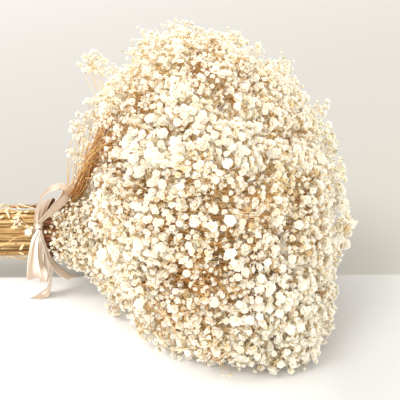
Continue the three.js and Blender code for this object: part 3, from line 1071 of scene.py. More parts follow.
# %% The collar next to the tie
COLLAR_START, COLLAR_LENGTH, COLLAR_TRIES = 17, 78, 6500
outer_strands = [n for n, end in enumerate(fan_ends) if end["place"].length > 0.8 * bundle_radius]
collar_count = len(side_sprays)
for _ in range(COLLAR_TRIES):
    x = COLLAR_START + COLLAR_LENGTH * chance.random() ** 1.15
    a = chance.uniform(0, 2 * math.pi)
    up_side = max(0.0, math.sin(a)) ** 2
    r = bundle_radius + 5 + (x - 8) * chance.uniform(0.2, 0.95)
    place = Vector((x, r * math.cos(a), r * math.sin(a)))
    if place.z < TABLE + 6 or slim(place) or chance.random() < 0.5 * up_side or near_loop(place):
        continue
    if not (neck.fits(place) and crowd.fits(place)):
        continue
    neck.add(place)
    aim = Vector((math.cos(a), math.sin(a)))
    number = max(outer_strands, key=lambda n: fan_ends[n]["place"].dot(aim) + chance.uniform(0, 3))
    curve = fan_ends[number]["curve"]
    at = min(range(len(curve)), key=lambda i: abs(curve[i].x - (x - 13)))
    out = Vector((0.45, math.cos(a), math.sin(a))).normalized()
    side_sprays.append({"place": place, "strand": number, "kind": "collar", "out": out, "at": at})
print("side sprays:", collar_count, "and in the collar:", len(side_sprays) - collar_count)

# %% [markdown]
# ## Growing the twigs
#
# Twigs are grown backwards from what they carry. A group of blossoms is split into two or three
# smaller groups, a limb is drawn to each group's fork, and this goes on until every limb ends in
# one blossom. The same step works for a strand that carries sprays and for a spray that carries
# blossoms.

# %% Groups and limbs
PEDICEL_RADIUS = 0.31
BLOSSOM_LOW = TABLE + 1.5
BLOSSOM_FRONT = -240  # nothing comes further forward than this
HANDLE = 0.33  # how long a limb keeps its direction at both ends, as a share of its length


def middle_of(targets):
    """The middle of some targets' places."""
    return sum((t["place"] for t in targets), Vector()) / len(targets)


def split(targets, count):
    """Splits targets into groups that lie close together."""
    seeds = [targets[0]["place"]]
    for _ in range(count - 1):
        seeds.append(max((t["place"] for t in targets), key=lambda p: min((p - s).length for s in seeds)))
    for _ in range(3):
        groups = [[] for _ in seeds]
        for t in targets:
            groups[min(range(len(seeds)), key=lambda i: (t["place"] - seeds[i]).length)].append(t)
        seeds = [middle_of(g) if g else s for g, s in zip(groups, seeds)]
    return [g for g in groups if g]


def limb(bm, start, heading, end, arrive, radii, rings, sides, tint):
    """A bent twig from one place to another."""
    gap = (end - start).length
    first, second = start + heading * gap * HANDLE, end - arrive * gap * HANDLE
    first.z, second.z = max(first.z, BLOSSOM_LOW), max(second.z, BLOSSOM_LOW)
    points = bezier(start, first, second, end, rings - 1)
    sizes = [radii[0] + (radii[1] - radii[0]) * k / (rings - 1) for k in range(rings)]
    tube(bm, points, sizes, sides, tint)


# %% Branching
TAPER, THINNER = 0.86, 0.68  # how a limb's radius drops along it, and from limb to limb
FINE = 0.55  # a limb with a smaller radius than this has few faces
SPRAY_FORK, NEXT_FORK = 0.4, 0.42  # where on its way a limb forks: the first in a spray, and the next


def grow(bm, start, heading, targets, radius, tint, reached, fork_share):
    """Branches out from a place until each target is reached, and calls reached for each."""
    if len(targets) == 1:
        reached(bm, start, heading, targets[0], radius, tint)
        return
    gap = middle_of(targets) - start
    fork = start + gap * fork_share * chance.uniform(0.75, 1.2) + jitter(gap.length * 0.06)
    arrive = (gap.normalized() + heading * 0.3).normalized()
    rings, sides = (2, 3) if radius < FINE else (3, 4)
    limb(bm, start, heading, fork, arrive, (radius, radius * TAPER), rings, sides, tint)
    count = 3 if len(targets) > 5 and chance.random() < 0.5 else 2
    for group in split(targets, count):
        aim = (middle_of(group) - fork).normalized()
        leave = (arrive + aim * 0.8).normalized()
        next_radius = max(radius * THINNER, PEDICEL_RADIUS)
        next_tint = tint + chance.uniform(-0.12, 0.12)
        grow(bm, fork, leave, group, next_radius, next_tint, reached, NEXT_FORK)


# %% A spray and its blossoms
GOLDEN_ANGLE = 2.4  # the turn from one blossom to the next, as in a sunflower, in radians
# The fillers' low tones make them beige and golden: partly their own dry colour, partly painted shade in the
# gaps.
FILLER_TONES = (0.02, 0.1, 0.2, 0.3, 0.75)
OUTER_RADIUS, OUTER_TINT = 0.42, 0.7  # sprays that stand out have thin pale stalks
SHORT_STALK = 3  # a stalk shorter than this is left out
blossoms = [[] for _ in stems]  # for each stem: place, axis, openness, larger and tone


def end_in_blossom(bm, start, heading, target, radius, tint):
    """A straight pedicel, and a note of the blossom that it carries."""
    place = target["place"]
    arrive = (place - start).normalized()
    axis = (arrive + target["out"] * 0.5 + on_ball() * 0.45).normalized()
    radii = [max(radius * 0.9, PEDICEL_RADIUS), PEDICEL_RADIUS * 1.05]
    tube(bm, [start, place], radii, 3, tint + 0.25)
    blossoms[target["stem"]].append((place, axis, target["openness"], target["larger"], target["tone"]))


def keep_clear(place):
    """Keeps a place off the table and inside the room in front."""
    place.z, place.y = max(place.z, BLOSSOM_LOW), max(place.y, BLOSSOM_FRONT)


def spray_targets(spray, base):
    """The blossoms of one spray: a small dome above its base."""
    out, count, spread, height = spray["out"], spray["count"], spray["spread"], spray["height"]
    side = out.orthogonal().normalized()
    up = out.cross(side)
    turn = chance.uniform(0, 6)
    made = []
    for i in range(count):
        r = spread * math.sqrt((i + 0.6) / count)
        a = turn + i * GOLDEN_ANGLE + chance.uniform(-0.35, 0.35)
        h = height * (1 - 0.42 * (r / spread) ** 2) + chance.gauss(0, 0.15 * height)
        place = base + out * h + (side * math.cos(a) + up * math.sin(a)) * r + jitter(0.9)
        keep_clear(place)
        made.append({
            "place": place, "out": (place - base).normalized(), "stem": spray["stem"],
            "openness": spray["openness"] + chance.gauss(0, 0.15),
            "larger": spray["larger"], "tone": spray["tone"],
        })
    for _ in range(spray.get("fill", 0)):
        r, a = spread * chance.uniform(0.1, 1.05), chance.uniform(0, 2 * math.pi)
        lift = out * height * chance.uniform(0.35, 0.85)
        place = base + lift + (side * math.cos(a) + up * math.sin(a)) * r
        keep_clear(place)
        made.append({
            "place": place, "out": (place - base).normalized(), "stem": spray["stem"], "openness": 0.1,
            "larger": chance.uniform(0.9, 1.25), "tone": chance.choice(FILLER_TONES),
        })
    return made


def end_in_spray(bm, start, heading, target, radius, tint):
    """A stalk up to the spray's base, and the spray on it."""
    place, out = target["place"], target["out"]
    if target["kind"] == "outer":
        radius, tint = min(radius, OUTER_RADIUS), OUTER_TINT
    base = place - out * target["height"]
    base.z = max(base.z, BLOSSOM_LOW)
    if (base - start).length > SHORT_STALK:
        limb(bm, start, heading, base, out, (radius, radius * 0.8), 3, 3, tint)
    else:
        base = start
    thin = max(radius * 0.62, PEDICEL_RADIUS)
    grow(bm, base, out, spray_targets(target, base), thin, tint + 0.1, end_in_blossom, SPRAY_FORK)


# %% How big and how open each spray is
def open_share(place):
    """How far open the blossoms are: fuller towards the crown, tighter near the tie."""
    return min(0.96, 0.28 + (place - FAN_CENTRE).length / 345)


SPRAY_SIZES = {  # blossoms, spread and height of a spray, each from least to most
    "crown": ((14, 18), (10, 15), (12, 19)),
    "inner": ((4, 7), (10, 14), (12, 18)),
    "outer": ((9, 14), (8, 12), (13, 18)),
    "side": ((8, 12), (6.5, 10.5), (8, 13)),
    "collar": ((8, 12), (6, 9.5), (8, 12)),
}
COLLAR_TONES, OUTER_TONES = (0.5, 0.6, 0.66, 0.82), (0.62, 0.68, 0.84)
USUAL_TONE, MOST_TONE = 0.60, 0.72
FILLERS = {"crown": 2, "inner": 0, "outer": 0, "side": 1, "collar": 1}  # dry buds in the gaps of a spray, beige partly as painted shade
for s in sprays + side_sprays:
    s["stem"] = fan_ends[s["strand"]]["stem"]
    count, spread, height = SPRAY_SIZES[s["kind"]]
    s["count"] = chance.randint(*count)
    s["spread"] = chance.uniform(*spread)
    s["height"] = chance.uniform(*height)
    from_fan = min((s["place"] - FAN_CENTRE).length, 160)
    s["larger"] = s.get("larger", 0.7 + from_fan / 700) * chance.uniform(0.92, 1.08)
    high = np.interp(to_ball(s["place"] - HEAD_CENTRE).normalized().z, (0.5, 0.85), (0, 1))
    s["larger"] *= 1.1 - 0.25 * high
    s["fill"] = FILLERS[s["kind"]]
    # A patch's whiter value is added to the tone; below zero it is painted shade.
    s["tone"] = min(USUAL_TONE + 0.08 * high + s.get("whiter", 0), MOST_TONE) + chance.gauss(0, 0.05)
    if s["kind"] == "collar":
        s["openness"] = 0.52 + chance.gauss(0, 0.12)
        s["tone"] = chance.choice(COLLAR_TONES)
    elif s["kind"] == "outer":
        s["openness"] = s["opener"]
        s["tone"] = chance.choice(OUTER_TONES)
    else:
        s["openness"] = open_share(s["place"]) + chance.gauss(0, 0.18) + s.get("opener", 0)
    # The deep inner sprays are made beige and golden as painted shade.
    if s["kind"] == "inner":
        s["openness"] -= 0.1
        s["tone"] -= 0.40


# %% Grow every strand's twigs
TWIG_RADIUS, SIDE_RADIUS = 0.62, 0.5
OUTSIDE = 25  # a spray this far past the strand's end grows from the end itself
BELOW_SPRAY = 48  # the others grow from the strand this far below themselves
twig_meshes = [bmesh.new() for _ in stems]
for number, end in enumerate(fan_ends):
    bm = twig_meshes[end["stem"]]
    mine = [s for s in sprays if s["strand"] == number]
    curve, ray = end["curve"], end["ray"]
    top = (curve[-1] - FAN_CENTRE).length
    tint = chance.uniform(0.1, 0.6)
    outer = [s for s in mine if (s["place"] - FAN_CENTRE).length > top + OUTSIDE]
    if outer:
        grow(bm, curve[-1], ray, outer, TIP_RADIUS * 0.9, tint, end_in_spray, SPRAY_FORK)
    for s in mine:
        if s not in outer:
            want = (s["place"] - FAN_CENTRE).length - BELOW_SPRAY
            k = min(range(len(curve)), key=lambda i: abs((curve[i] - FAN_CENTRE).length - want))
            end_in_spray(bm, curve[k], heading_at(curve, k), s, TWIG_RADIUS, tint)
    for s in side_sprays:
        if s["strand"] == number:
            k = int(s["at"])
            heading = (heading_at(curve, k) + s["out"] * 0.5).normalized()
            end_in_spray(bm, curve[k], heading, s, SIDE_RADIUS, tint)
print("blossoms so far:", sum(map(len, blossoms)))

# %% [markdown]
# ## Twigs that leave the bundle at its top
#
# Beside the ribbon's upper loop, some long twigs leave the bundle steeply. A few carry small
# sprays that stand free of the head. Most of them run close together like a sheaf and are bare,
# so they show as a brown fan. Each starts among the outer strands, bends through a low place and
# a waist, and ends near the head's skin.

# %% A small spray and where a top twig starts
def small_spray(place, out, stem, count, openness, tone):
    """A spray with few blossoms."""
    return {
        "place": place, "out": out, "stem": stem, "count": count, "spread": chance.uniform(6, 10),
        "height": chance.uniform(9, 14), "openness": openness, "larger": 0.9, "tone": tone,
    }


def top_start():
    """A place among the strands on top of the bundle, just past the tie, and the stem there."""
    a = math.radians(chance.uniform(50, 128))
    r = bundle_radius * chance.uniform(0.8, 1.0)
    start = Vector((chance.uniform(5, 19), -r * math.cos(a), r * math.sin(a)))
    number = max(outer_strands, key=lambda n: fan_ends[n]["place"].dot(Vector((start.y, start.z))))
    return start, fan_ends[number]["stem"]


# %% Free sprays beside the ribbon's loop
STEEP_START = Vector((0.96, 0, 0.28))  # how they leave the bundle
FREE_RADII = (0.6, 0.33)
LEFT_SPRAYS = [
    (59, 5, 149), (66, 5, 146), (53, 0, 134), (46, -5, 130), (44, -8, 121), (60, 0, 131), (54, -10, 109),
    (61, -8, 101), (41, -14, 96), (53, -18, 87), (48, -10, 112), (59, -8, 113), (56, 5, 153), (58, -20, 80),
]
for spot in LEFT_SPRAYS:
    start, stem = top_start()
    place = Vector(spot) + jitter(2)
    out = (place - start).normalized() + on_ball() * 0.3
    out.normalize()
    count, openness = chance.randint(7, 11), chance.uniform(0.5, 0.95)
    spray = small_spray(place, out, stem, count, openness, chance.choice((0.62, 0.75)))
    base = place - out * spray["height"]
    tint = chance.uniform(0.4, 0.9)
    limb(twig_meshes[stem], start, STEEP_START, base, out, FREE_RADII, 10, 4, tint)
    targets = spray_targets(spray, base)
    grow(twig_meshes[stem], base, out, targets, 0.33, tint + 0.1, end_in_blossom, SPRAY_FORK)

# %% The sheaf of bare twigs
FAN_TWIGS = 90
FAN_LOW, FAN_WAIST = Vector((45, -22, 51)), Vector((65, -74, 107))  # they run close together here
FAN_LEFT = Vector((-0.76, -0.28, 0.59))  # and then spread from this direction
FAN_RIGHT = Vector((-0.48, -0.62, 0.62))  # to this one
SHEAF_TINTS = (0.0, 0.0, 0.1, 0.25, 0.5, 0.8)
SHEAF_RADII = (0.48, 0.27)
SHEAF_SPRAYS = 0.3  # the share of these twigs that end in a small spray
for _ in range(FAN_TWIGS):
    start, stem = top_start()
    low, waist = FAN_LOW + jitter(5), FAN_WAIST + jitter(4.5)
    direction = (FAN_LEFT.lerp(FAN_RIGHT, chance.random()) + jitter(0.05)).normalized()
    end = near_skin(direction, chance.uniform(0.95, 1.04))
    flow = ((waist - low).normalized() + (end - waist).normalized()).normalized()
    arrive = ((end - waist).normalized() + on_ball() * 0.35).normalized()
    path = bezier(start, start.lerp(low, 0.9), low.lerp(waist, 0.35), waist, 9)
    path += bezier(waist, waist + flow * 14, end - arrive * 14, end, 6)[1:]
    tint = chance.choice(SHEAF_TINTS)
    tube(twig_meshes[stem], path, np.linspace(*SHEAF_RADII, len(path)), 3, tint)
    if chance.random() < SHEAF_SPRAYS:
        spray = small_spray(end, arrive, stem, chance.randint(3, 5), chance.uniform(0.2, 0.6), 0.62)
        targets = spray_targets(spray, end)
        grow(twig_meshes[stem], end, arrive, targets, 0.32, tint, end_in_blossom, SPRAY_FORK)

# %% [markdown]
# ## Twigs without blossoms
#
# In the bare patches the head's inside shows: thin brown twigs that cross each other. They are
# grown from the nearest strands to places just under the head's skin, and each ends in two short
# tips. A few pale straight ones lie on the outside. Deep in the head, shorter stalks fill the
# space between the strands, so that the head isn't hollow.

# %% Bare twigs where the blossoms are sparse
TWIGS_PER_DEGREE = 4
NEAR_STRANDS = 4  # each twig grows from one of this many strands
BARE_RADII, BARE_TIP_RADII = (0.62, 0.3), (0.3, 0.24)
for centre, degrees in BARE:
    for _ in range(int(degrees * TWIGS_PER_DEGREE)):
        direction = (Vector(centre) + on_ball() * math.radians(degrees) * 1.1).normalized()
        end = near_skin(direction, chance.uniform(0.82, 0.98))
        if end.z < BLOSSOM_LOW:
            continue
        angles = lump_rays @ np.array((end - FAN_CENTRE).normalized())
        strand = fan_ends[int(chance.choice(np.argsort(-angles)[:NEAR_STRANDS]))]
        curve = strand["curve"]
        k = chance.randint(7, len(curve) - 2)
        start = curve[k]
        arrive = ((end - start).normalized() + on_ball() * 0.35).normalized()
        bm = twig_meshes[strand["stem"]]
        tint = chance.uniform(0.0, 0.5)
        limb(bm, start, heading_at(curve, k), end, arrive, BARE_RADII, 5, 3, tint)
        for _ in range(2):
            side_end = end + (arrive + on_ball() * 0.9) * chance.uniform(6, 16)
            keep_clear(side_end)
            tip_way = (side_end - end).normalized()
            limb(bm, end, arrive, side_end, tip_way, BARE_TIP_RADII, 2, 3, tint + 0.1)
            if chance.random() < 0.5:
                blossoms[strand["stem"]].append((side_end, arrive, chance.uniform(0.1, 0.6), 0.9, 0.5))

# %% Straight twigs on the outside
STRAIGHT_TWIGS = [  # from one direction in the head to another
    ((-0.49, -0.78, -0.40), (-0.40, -0.79, -0.48)), ((-0.39, -0.88, -0.26), (-0.30, -0.87, -0.40)),
    ((-0.40, -0.79, -0.48), (-0.24, -0.89, -0.40)), ((-0.12, -0.88, -0.46), (-0.03, -0.92, -0.39)),
    ((-0.12, -0.86, -0.49), (-0.02, -0.91, -0.41)), ((-0.08, -0.96, -0.25), (0.05, -0.98, -0.20)),
]
for first, second in STRAIGHT_TWIGS:
    begin, end = (near_skin(Vector(direction), 1.03) for direction in (first, second))
    strand = fan_ends[nearest_strand(begin.lerp(end, 0.5))]
    bm = twig_meshes[strand["stem"]]
    way = (end - begin).normalized()
    arrive = (strand["ray"] + way * 0.3).normalized()
    limb(bm, strand["curve"][-2], strand["ray"], begin, arrive, (0.4, 0.3), 8, 4, 0.05)
    limb(bm, begin, way, end, way, (0.45, 0.3), 4, 4, 1.0)

# %% Stalks inside the head
INNER_STALKS = 400
STALK_STRANDS, STALK_TIPS = 6, 3  # how many strands it may grow from, and how many tips it has
STALK_RADII, STALK_TIP_RADII = (0.7, 0.4), (0.38, 0.26)
for _ in range(INNER_STALKS):
    direction = on_ball()
    end = near_skin(direction, chance.uniform(0.78, 0.9))
    if end.z < BLOSSOM_LOW:
        continue
    angles = lump_rays @ np.array((end - FAN_CENTRE).normalized())
    strand = fan_ends[int(chance.choice(np.argsort(-angles)[:STALK_STRANDS]))]
    curve = strand["curve"]
    k = chance.randint(len(curve) // 2, len(curve) - 2)
    arrive = ((end - curve[k]).normalized() + on_ball() * 0.9).normalized()
    bm = twig_meshes[strand["stem"]]
    tint = chance.uniform(0.35, 0.95)
    limb(bm, curve[k], heading_at(curve, k), end, arrive, STALK_RADII, 5, 3, tint)
    for _ in range(STALK_TIPS):
        tip = end + (arrive + on_ball() * 1.4) * chance.uniform(6, 13)
        tip.z = max(tip.z, BLOSSOM_LOW)
        limb(bm, end, arrive, tip, (tip - end).normalized(), STALK_TIP_RADII, 2, 3, tint)

# %% The twig pieces
for index, bm in enumerate(twig_meshes):
    piece(f"twigs_{index + 1:02d}", bm, twig_finish, "dried_stem", f"blossoms_{index + 1:02d}")
print("blossoms wanted:", sum(map(len, blossoms)))

# %% [markdown]
# ## A blossom on every stalk
#
# How far open a blossom is decides its kind: bud, cup, small double or full double. About one
# open blossom in eight is a large and nearly white pompom. All the blossoms of one stem are
# copied into one mesh, so that there are twenty-five pieces and not twenty thousand.

# %% Choose a blossom
OPEN, HALF_OPEN = 0.55, 0.28  # above these a blossom is open, or half open
POMPOM_SHARE, POMPOM_SIZE, POMPOM_MOST, POMPOM_TINT = 0.12, 1.6, 10.5, 0.72
FULL_DOUBLE = 6.2  # only an open blossom with a larger diameter has three whorls
CUP_MOST, BUD_MOST = 7, 4.8  # the largest diameters


def diameter(usual, varies, least):
    """A random diameter in millimetres."""
    return max(chance.gauss(usual, varies), least)


def pick_blossom(openness, larger, tone):
    """A master, a diameter in millimetres and a tint for how far open a blossom is."""
    tint = min(max(chance.gauss(tone, 0.11), 0.0), 0.9 if tone > 0.77 else 0.8)
    if openness > OPEN:
        size = diameter(4.8, 0.9, 3.2) * larger
        if chance.random() < POMPOM_SHARE:
            size, tint = min(size * POMPOM_SIZE, POMPOM_MOST), max(tint, POMPOM_TINT)
        return chance.choice(doubles if size > FULL_DOUBLE else small_doubles), size, tint
    if openness > HALF_OPEN:
        form = chance.choice(cups)
        return form, min(diameter(4.5, 0.7, 3.0) * larger, CUP_MOST), tint
    form = chance.choice(buds)
    size = min(diameter(3.4, 0.5, 2.3) * larger, BUD_MOST)
    return form, size, min(tint + chance.uniform(0.05, 0.3), 1)


# %% Put a blossom on every stalk
total = 0
for index, group in enumerate(blossoms):
    bm = bmesh.new()
    for place, axis, openness, larger, tone in group:
        form, size, tint = pick_blossom(openness, larger, tone)
        place.z = max(place.z, TABLE + size * (0.6 + 0.6 * max(-axis.z, 0)))
        add_blossom(bm, form, place, axis, size, tint)
    total += len(bm.faces)
    piece(f"flowers_{index + 1:02d}", bm, petal, "dried_blossom", f"blossoms_{index + 1:02d}")
print("blossom faces:", total)

# %% [markdown]
# ## The ribbon
#
# One satin ribbon, 22 mm wide, goes round the stems and is tied in front in a loose bow: an open
# loop above, a hanging loop below and two cut tails. The ribbon starts as a flat grid. Each row of
# it is moved to a stop on the route, turned the way the ribbon faces there and narrowed where it
# is gathered. A gathered row keeps its full width of cloth by folding into pleats.

# %% Ribbon measures
RIBBON_WIDTH, RIBBON_LENGTH = 22, 586
CLOTH_WIDTH = 19  # of a row that lies open, as the two edges curl
WRAP_RADIUS = bundle_radius + MAIN_RADIUS + 0.9
KNOT_ROUND = math.radians(180 - 34)  # where the knot sits on the bundle, from the back over the top
WRAP_STEPS = 16
SLACK, SLACK_AT, SLACK_REACH = 6.5, 1.25, 0.75  # how slack the wrap is on top of the bundle
COLUMNS, PLEATS = 20, 2.5  # faces and pleats across the ribbon
CUT_REACH = 14  # how far from its end a slanted cut starts

# %% [markdown]
# ## The ribbon's route
#
# Each stop on the route is x, y and z, the ribbon's width there, and the way across the ribbon.
# A smooth path runs through the stops, so a run needs only a stop wherever it bends or turns.

# %% Stops of the right tail
RIGHT_TAIL = [
    (34.6, -40.5, -37.8, 15, (-0.15, -0.99, 0.02)), (28.6, -39, -36.1, 15, (-0.16, -0.99, 0.02)),
    (22, -37, -32.3, 15, (-0.19, -0.98, -0.02)), (16.2, -34.8, -27.3, 14, (-0.22, -0.97, -0.01)),
    (11.5, -32.8, -21.2, 13, (-0.28, -0.96, 0.03)), (8, -31.2, -14.6, 12, (-0.29, -0.95, 0.14)),
    (5.4, -30.2, -5.8, 10.5, (-0.34, -0.92, 0.22)), (3, -29.6, 3, 8.5, (-0.23, -0.94, 0.25)),
    (1.5, -29.2, 12.2, 6.5, (-0.14, -0.94, 0.32)),
]

# %% Stops of the upper loop
UPPER_LOOP = [
    (1.2, -31, 22.5, 7, (-0.03, -0.72, 0.69)), (5.7, -33, 27.9, 9, (-0.12, -0.73, 0.67)),
    (10.1, -34.5, 32.4, 11, (-0.19, -0.74, 0.64)), (15.5, -35.5, 38.1, 12.5, (-0.25, -0.69, 0.68)),
    (20.8, -35.5, 43.4, 13.5, (-0.32, -0.61, 0.73)), (25.8, -35, 48.4, 14.5, (-0.44, -0.59, 0.68)),
    (29.7, -33, 52.5, 15.5, (-0.53, -0.63, 0.56)), (31.4, -31, 55.1, 16, (-0.57, -0.7, 0.43)),
    (31.6, -28, 57.1, 16, (-0.56, -0.79, 0.25)), (30.7, -25, 58.5, 16, (-0.51, -0.86, 0.05)),
    (28.7, -22.5, 59.6, 16, (-0.38, -0.92, -0.11)), (25.9, -20.5, 59.8, 15.5, (-0.24, -0.95, -0.19)),
    (23.2, -19, 59.5, 15, (-0.08, -0.97, -0.21)), (20.2, -17.8, 59.1, 14.5, (0.03, -0.98, -0.2)),
    (17.1, -16.8, 58.2, 14.5, (0.11, -0.98, -0.15)), (14.1, -16.2, 57.3, 14, (0.19, -0.97, -0.12)),
    (10.9, -16.5, 55.9, 13.5, (0.26, -0.96, -0.07)), (7.4, -17.5, 53.7, 13, (0.28, -0.96, 0.02)),
    (4, -19, 49.3, 12, (0.29, -0.95, 0.13)), (1.7, -21, 44.6, 11, (0.26, -0.94, 0.23)),
    (0.3, -24, 38.9, 10, (0.29, -0.91, 0.29)), (-0.9, -27, 32.3, 9, (0.41, -0.87, 0.28)),
    (-1.4, -29.5, 25.8, 8, (0.51, -0.81, 0.27)), (-0.2, -30.5, 20.3, 7, (0.42, -0.84, 0.33)),
]

# %% Stops of the lower loop
LOWER_LOOP = [
    (0.3, -31, 15.1, 5, (-0.37, -0.86, 0.34)), (-0.7, -33, 10.1, 7.5, (-0.74, -0.63, 0.25)),
    (-2.2, -36, 5, 11, (-0.79, -0.56, 0.23)), (-3.5, -39, -3, 13.5, (-0.79, -0.57, 0.24)),
    (-4.2, -41.5, -12.4, 16.3, (-0.8, -0.55, 0.24)), (-4, -43, -22, 19.5, (-0.85, -0.44, 0.28)),
    (-3, -43.5, -28.5, 22, (-0.91, -0.26, 0.33)), (-1.4, -42, -34.4, 22.3, (-0.95, -0.02, 0.32)),
    (-0.2, -40, -37.2, 20, (-0.94, -0.01, 0.33)), (1, -37.5, -36.5, 17.5, (-0.94, -0.18, 0.29)),
    (3, -35, -31.1, 14.8, (-0.88, -0.4, 0.26)), (4.4, -33, -22.2, 12.6, (-0.9, -0.37, 0.21)),
    (4.6, -31.5, -12.9, 10.4, (-0.87, -0.47, 0.14)), (3.1, -30.3, -2.9, 8, (-0.63, -0.74, 0.23)),
    (2.2, -29.6, 6, 6.5, (-0.38, -0.87, 0.3)), (1, -29, 13.8, 5, (-0.28, -0.91, 0.31)),
]

# %% Stops of the tail that hangs down
DOWN_TAIL = [
    (1.2, -28.5, 13.5, 7, (-0.45, 0.83, -0.33)), (4, -28.3, -3.4, 10, (-0.46, 0.77, -0.44)),
    (7.5, -28, -15.3, 12, (-0.43, 0.79, -0.44)), (9.6, -27, -25.1, 14, (-0.39, 0.81, -0.44)),
    (10, -26, -34.2, 15, (-0.33, 0.85, -0.42)), (9.5, -25.3, -42, 15, (-0.31, 0.87, -0.39)),
    (8.8, -25, -48.1, 15, (-0.3, 0.87, -0.4)),
    (7.6, -24.0, -56.5, 15, (-0.34, 0.87, -0.3)), (4.6, -22.5, -62.8, 14.5, (-0.55, 0.80, -0.2)),
    (0.2, -22.0, -66.2, 14, (-0.75, 0.62, -0.05)), (-4.0, -26.0, -67.3, 13, (-0.92, 0.38, 0)),
    (-7.6, -30.2, -67.4, 12.5, (-0.99, 0.16, 0)),
]


# %% Along a route
def through(stops, t):
    """A smooth path through a list of rows of numbers, at t from 0 to 1."""
    at = t * (len(stops) - 1)
    i = min(int(at), len(stops) - 2)
    f = at - i
    a, b, c, d = (stops[min(max(k, 0), len(stops) - 1)] for k in (i - 1, i, i + 1, i + 2))
    square, cube = 2 * a - 5 * b + 4 * c - d, 3 * b - a - 3 * c + d
    return 0.5 * (2 * b + (c - a) * f + square * f * f + cube * f**3)


def rows(stops):
    """Stops as rows of seven numbers."""
    return np.array([[x, y, z, w, *turn] for x, y, z, w, turn in stops], float)


def wrap_rows():
    """Once round the stems, from the knot over the top, where it is a little slack, and back."""
    made = []
    for k in range(WRAP_STEPS + 1):
        a = 2 * math.pi * k / WRAP_STEPS
        slack = SLACK * math.exp(-(((a - SLACK_AT) / SLACK_REACH) ** 2))
        y, z = math.cos(KNOT_ROUND - a), math.sin(KNOT_ROUND - a)
        near_knot = max(0.0, math.cos(a)) ** 3
        r = WRAP_RADIUS + slack
        tilt = 0.06 * slack
        x = -1.5 + 2.5 * (1 - math.cos(a)) + 0.5 * slack
        made.append([x, r * y, r * z, 16 - 7 * near_knot, 1, tilt * y, tilt * z])
    return np.array(made)


# %% One run of ribbon
def ribbon_strip(bm, stops, steps, folds, cuts, painted_shades, depth):
    """One run of ribbon, added to a mesh.

    folds gives its height in places across it, cuts how slanted its two ends are, painted_shades
    how much painted shade the satin gets in places along it, and depth how deep its pleats are.
    """
    made = bmesh.ops.create_grid(bm, x_segments=steps, y_segments=COLUMNS, size=0.5)["verts"]
    path = np.array([through(stops, k / steps) for k in range(steps + 1)])
    along = np.gradient(path[:, :3], axis=0)
    along /= np.linalg.norm(along, axis=1)[:, None]
    width = path[:, 3]
    across = path[:, 4:] - along * np.sum(path[:, 4:] * along, axis=1)[:, None]
    across /= np.linalg.norm(across, axis=1)[:, None]
    face = np.cross(along, across)
    length = np.concatenate([[0], np.cumsum(np.linalg.norm(np.diff(path[:, :3], axis=0), axis=1))])
    print("a run of ribbon", round(length[-1]), "mm long")
    uv, old_patch_and_painted_shade = bm.loops.layers.uv.verify(), bm.verts.layers.float["old_patch_and_painted_shade"]
    for v in made:
        row, u = round((v.co.x + 0.5) * steps), v.co.y * 2
        w = width[row]
        # Painted shade: the satin is darkened in places along the run.
        v[old_patch_and_painted_shade] = np.interp(row / steps, *painted_shades)
        gather = max(CLOTH_WIDTH / w - 1, 0)
        fold = depth * gather**0.7 * w / (2 * math.pi * PLEATS) * np.interp(w, (7, 10, 14), (1, 0.8, 0.3))
        height = fold * math.sin(math.pi * PLEATS * u + 0.6) + 0.8 * u * u * math.sin(length[row] / 19)
        height += np.interp(u, *folds) * (w / 20) ** 2
        for loop in v.link_loops:
            loop[uv].uv = (length[row] / 1000, u * RIBBON_WIDTH / 2000)
        at_start = max(1 - length[row] / CUT_REACH, 0)
        at_end = max(1 - (length[-1] - length[row]) / CUT_REACH, 0)
        slant = cuts[0] * at_start + cuts[1] * at_end
        v.co = path[row, :3] + across[row] * (u * w / 2) + face[row] * height + along[row] * (u * slant)


# %% All the ribbon's runs
SOFT_FOLD = ((-1, -0.3, 0.4, 1), (0.0, 0.9, -0.6, 0.5))
HARD_FOLD = ((-1, -0.3, -0.12, 0.3, 1), (0.3, -3.8, -1.0, -0.8, -3.4))
# Painted shade along each run, from 0 to 1, by the share of its length.
NO_PAINTED_SHADE, WRAP_PAINTED_SHADE, TAIL_PAINTED_SHADE = ((0, 1), (0, 0)), ((0, 1), (0.8, 0.8)), ((0, 1), (0.3, 0.1))
UPPER_PAINTED_SHADE = (
    (0, 0.1, 0.25, 0.34, 0.5, 0.57, 0.63, 0.7, 0.85, 1), (0.4, 0, 0, 0.35, 0.5, 0, 0, 0.9, 1, 0.5)
)
LOWER_PAINTED_SHADE = ((0, 0.3, 0.6, 1), (0, 0.05, 0.4, 0.25))
RUNS = [  # the stops, the rows of faces, the folds along it, its cut ends, its painted shade, its pleats
    (rows(RIGHT_TAIL), 60, SOFT_FOLD, (4, 0), NO_PAINTED_SHADE, 2.0),
    (wrap_rows(), 110, SOFT_FOLD, (0, 0), WRAP_PAINTED_SHADE, 2.4),
    (rows(UPPER_LOOP), 130, SOFT_FOLD, (0, 0), UPPER_PAINTED_SHADE, 0.9),
    (rows(LOWER_LOOP), 120, HARD_FOLD, (0, 0), LOWER_PAINTED_SHADE, 1.9),
    (rows(DOWN_TAIL), 110, SOFT_FOLD, (0, 4.4), TAIL_PAINTED_SHADE, 2.4),
]
ribbon_mesh = bmesh.new()
ribbon_mesh.verts.layers.float.new("old_patch_and_painted_shade")
for stops, steps, folds, cuts, painted_shades, depth in RUNS:
    ribbon_strip(ribbon_mesh, stops, steps, folds, cuts, painted_shades, depth)
for face in ribbon_mesh.faces:
    face.smooth = True

# %% [markdown]
# ## Satin
#
# Satin floats its threads along the ribbon, so its shine is a soft streak across the folds. The
# shader's anisotropic gloss gives that, and a fine wave on the ribbon's own map gives the threads
# and the woven edges. The colour also holds painted sheen, pale where the ribbon faces the eye and
# tan where it turns away, and painted shade, darker in places along each run and on the knot.

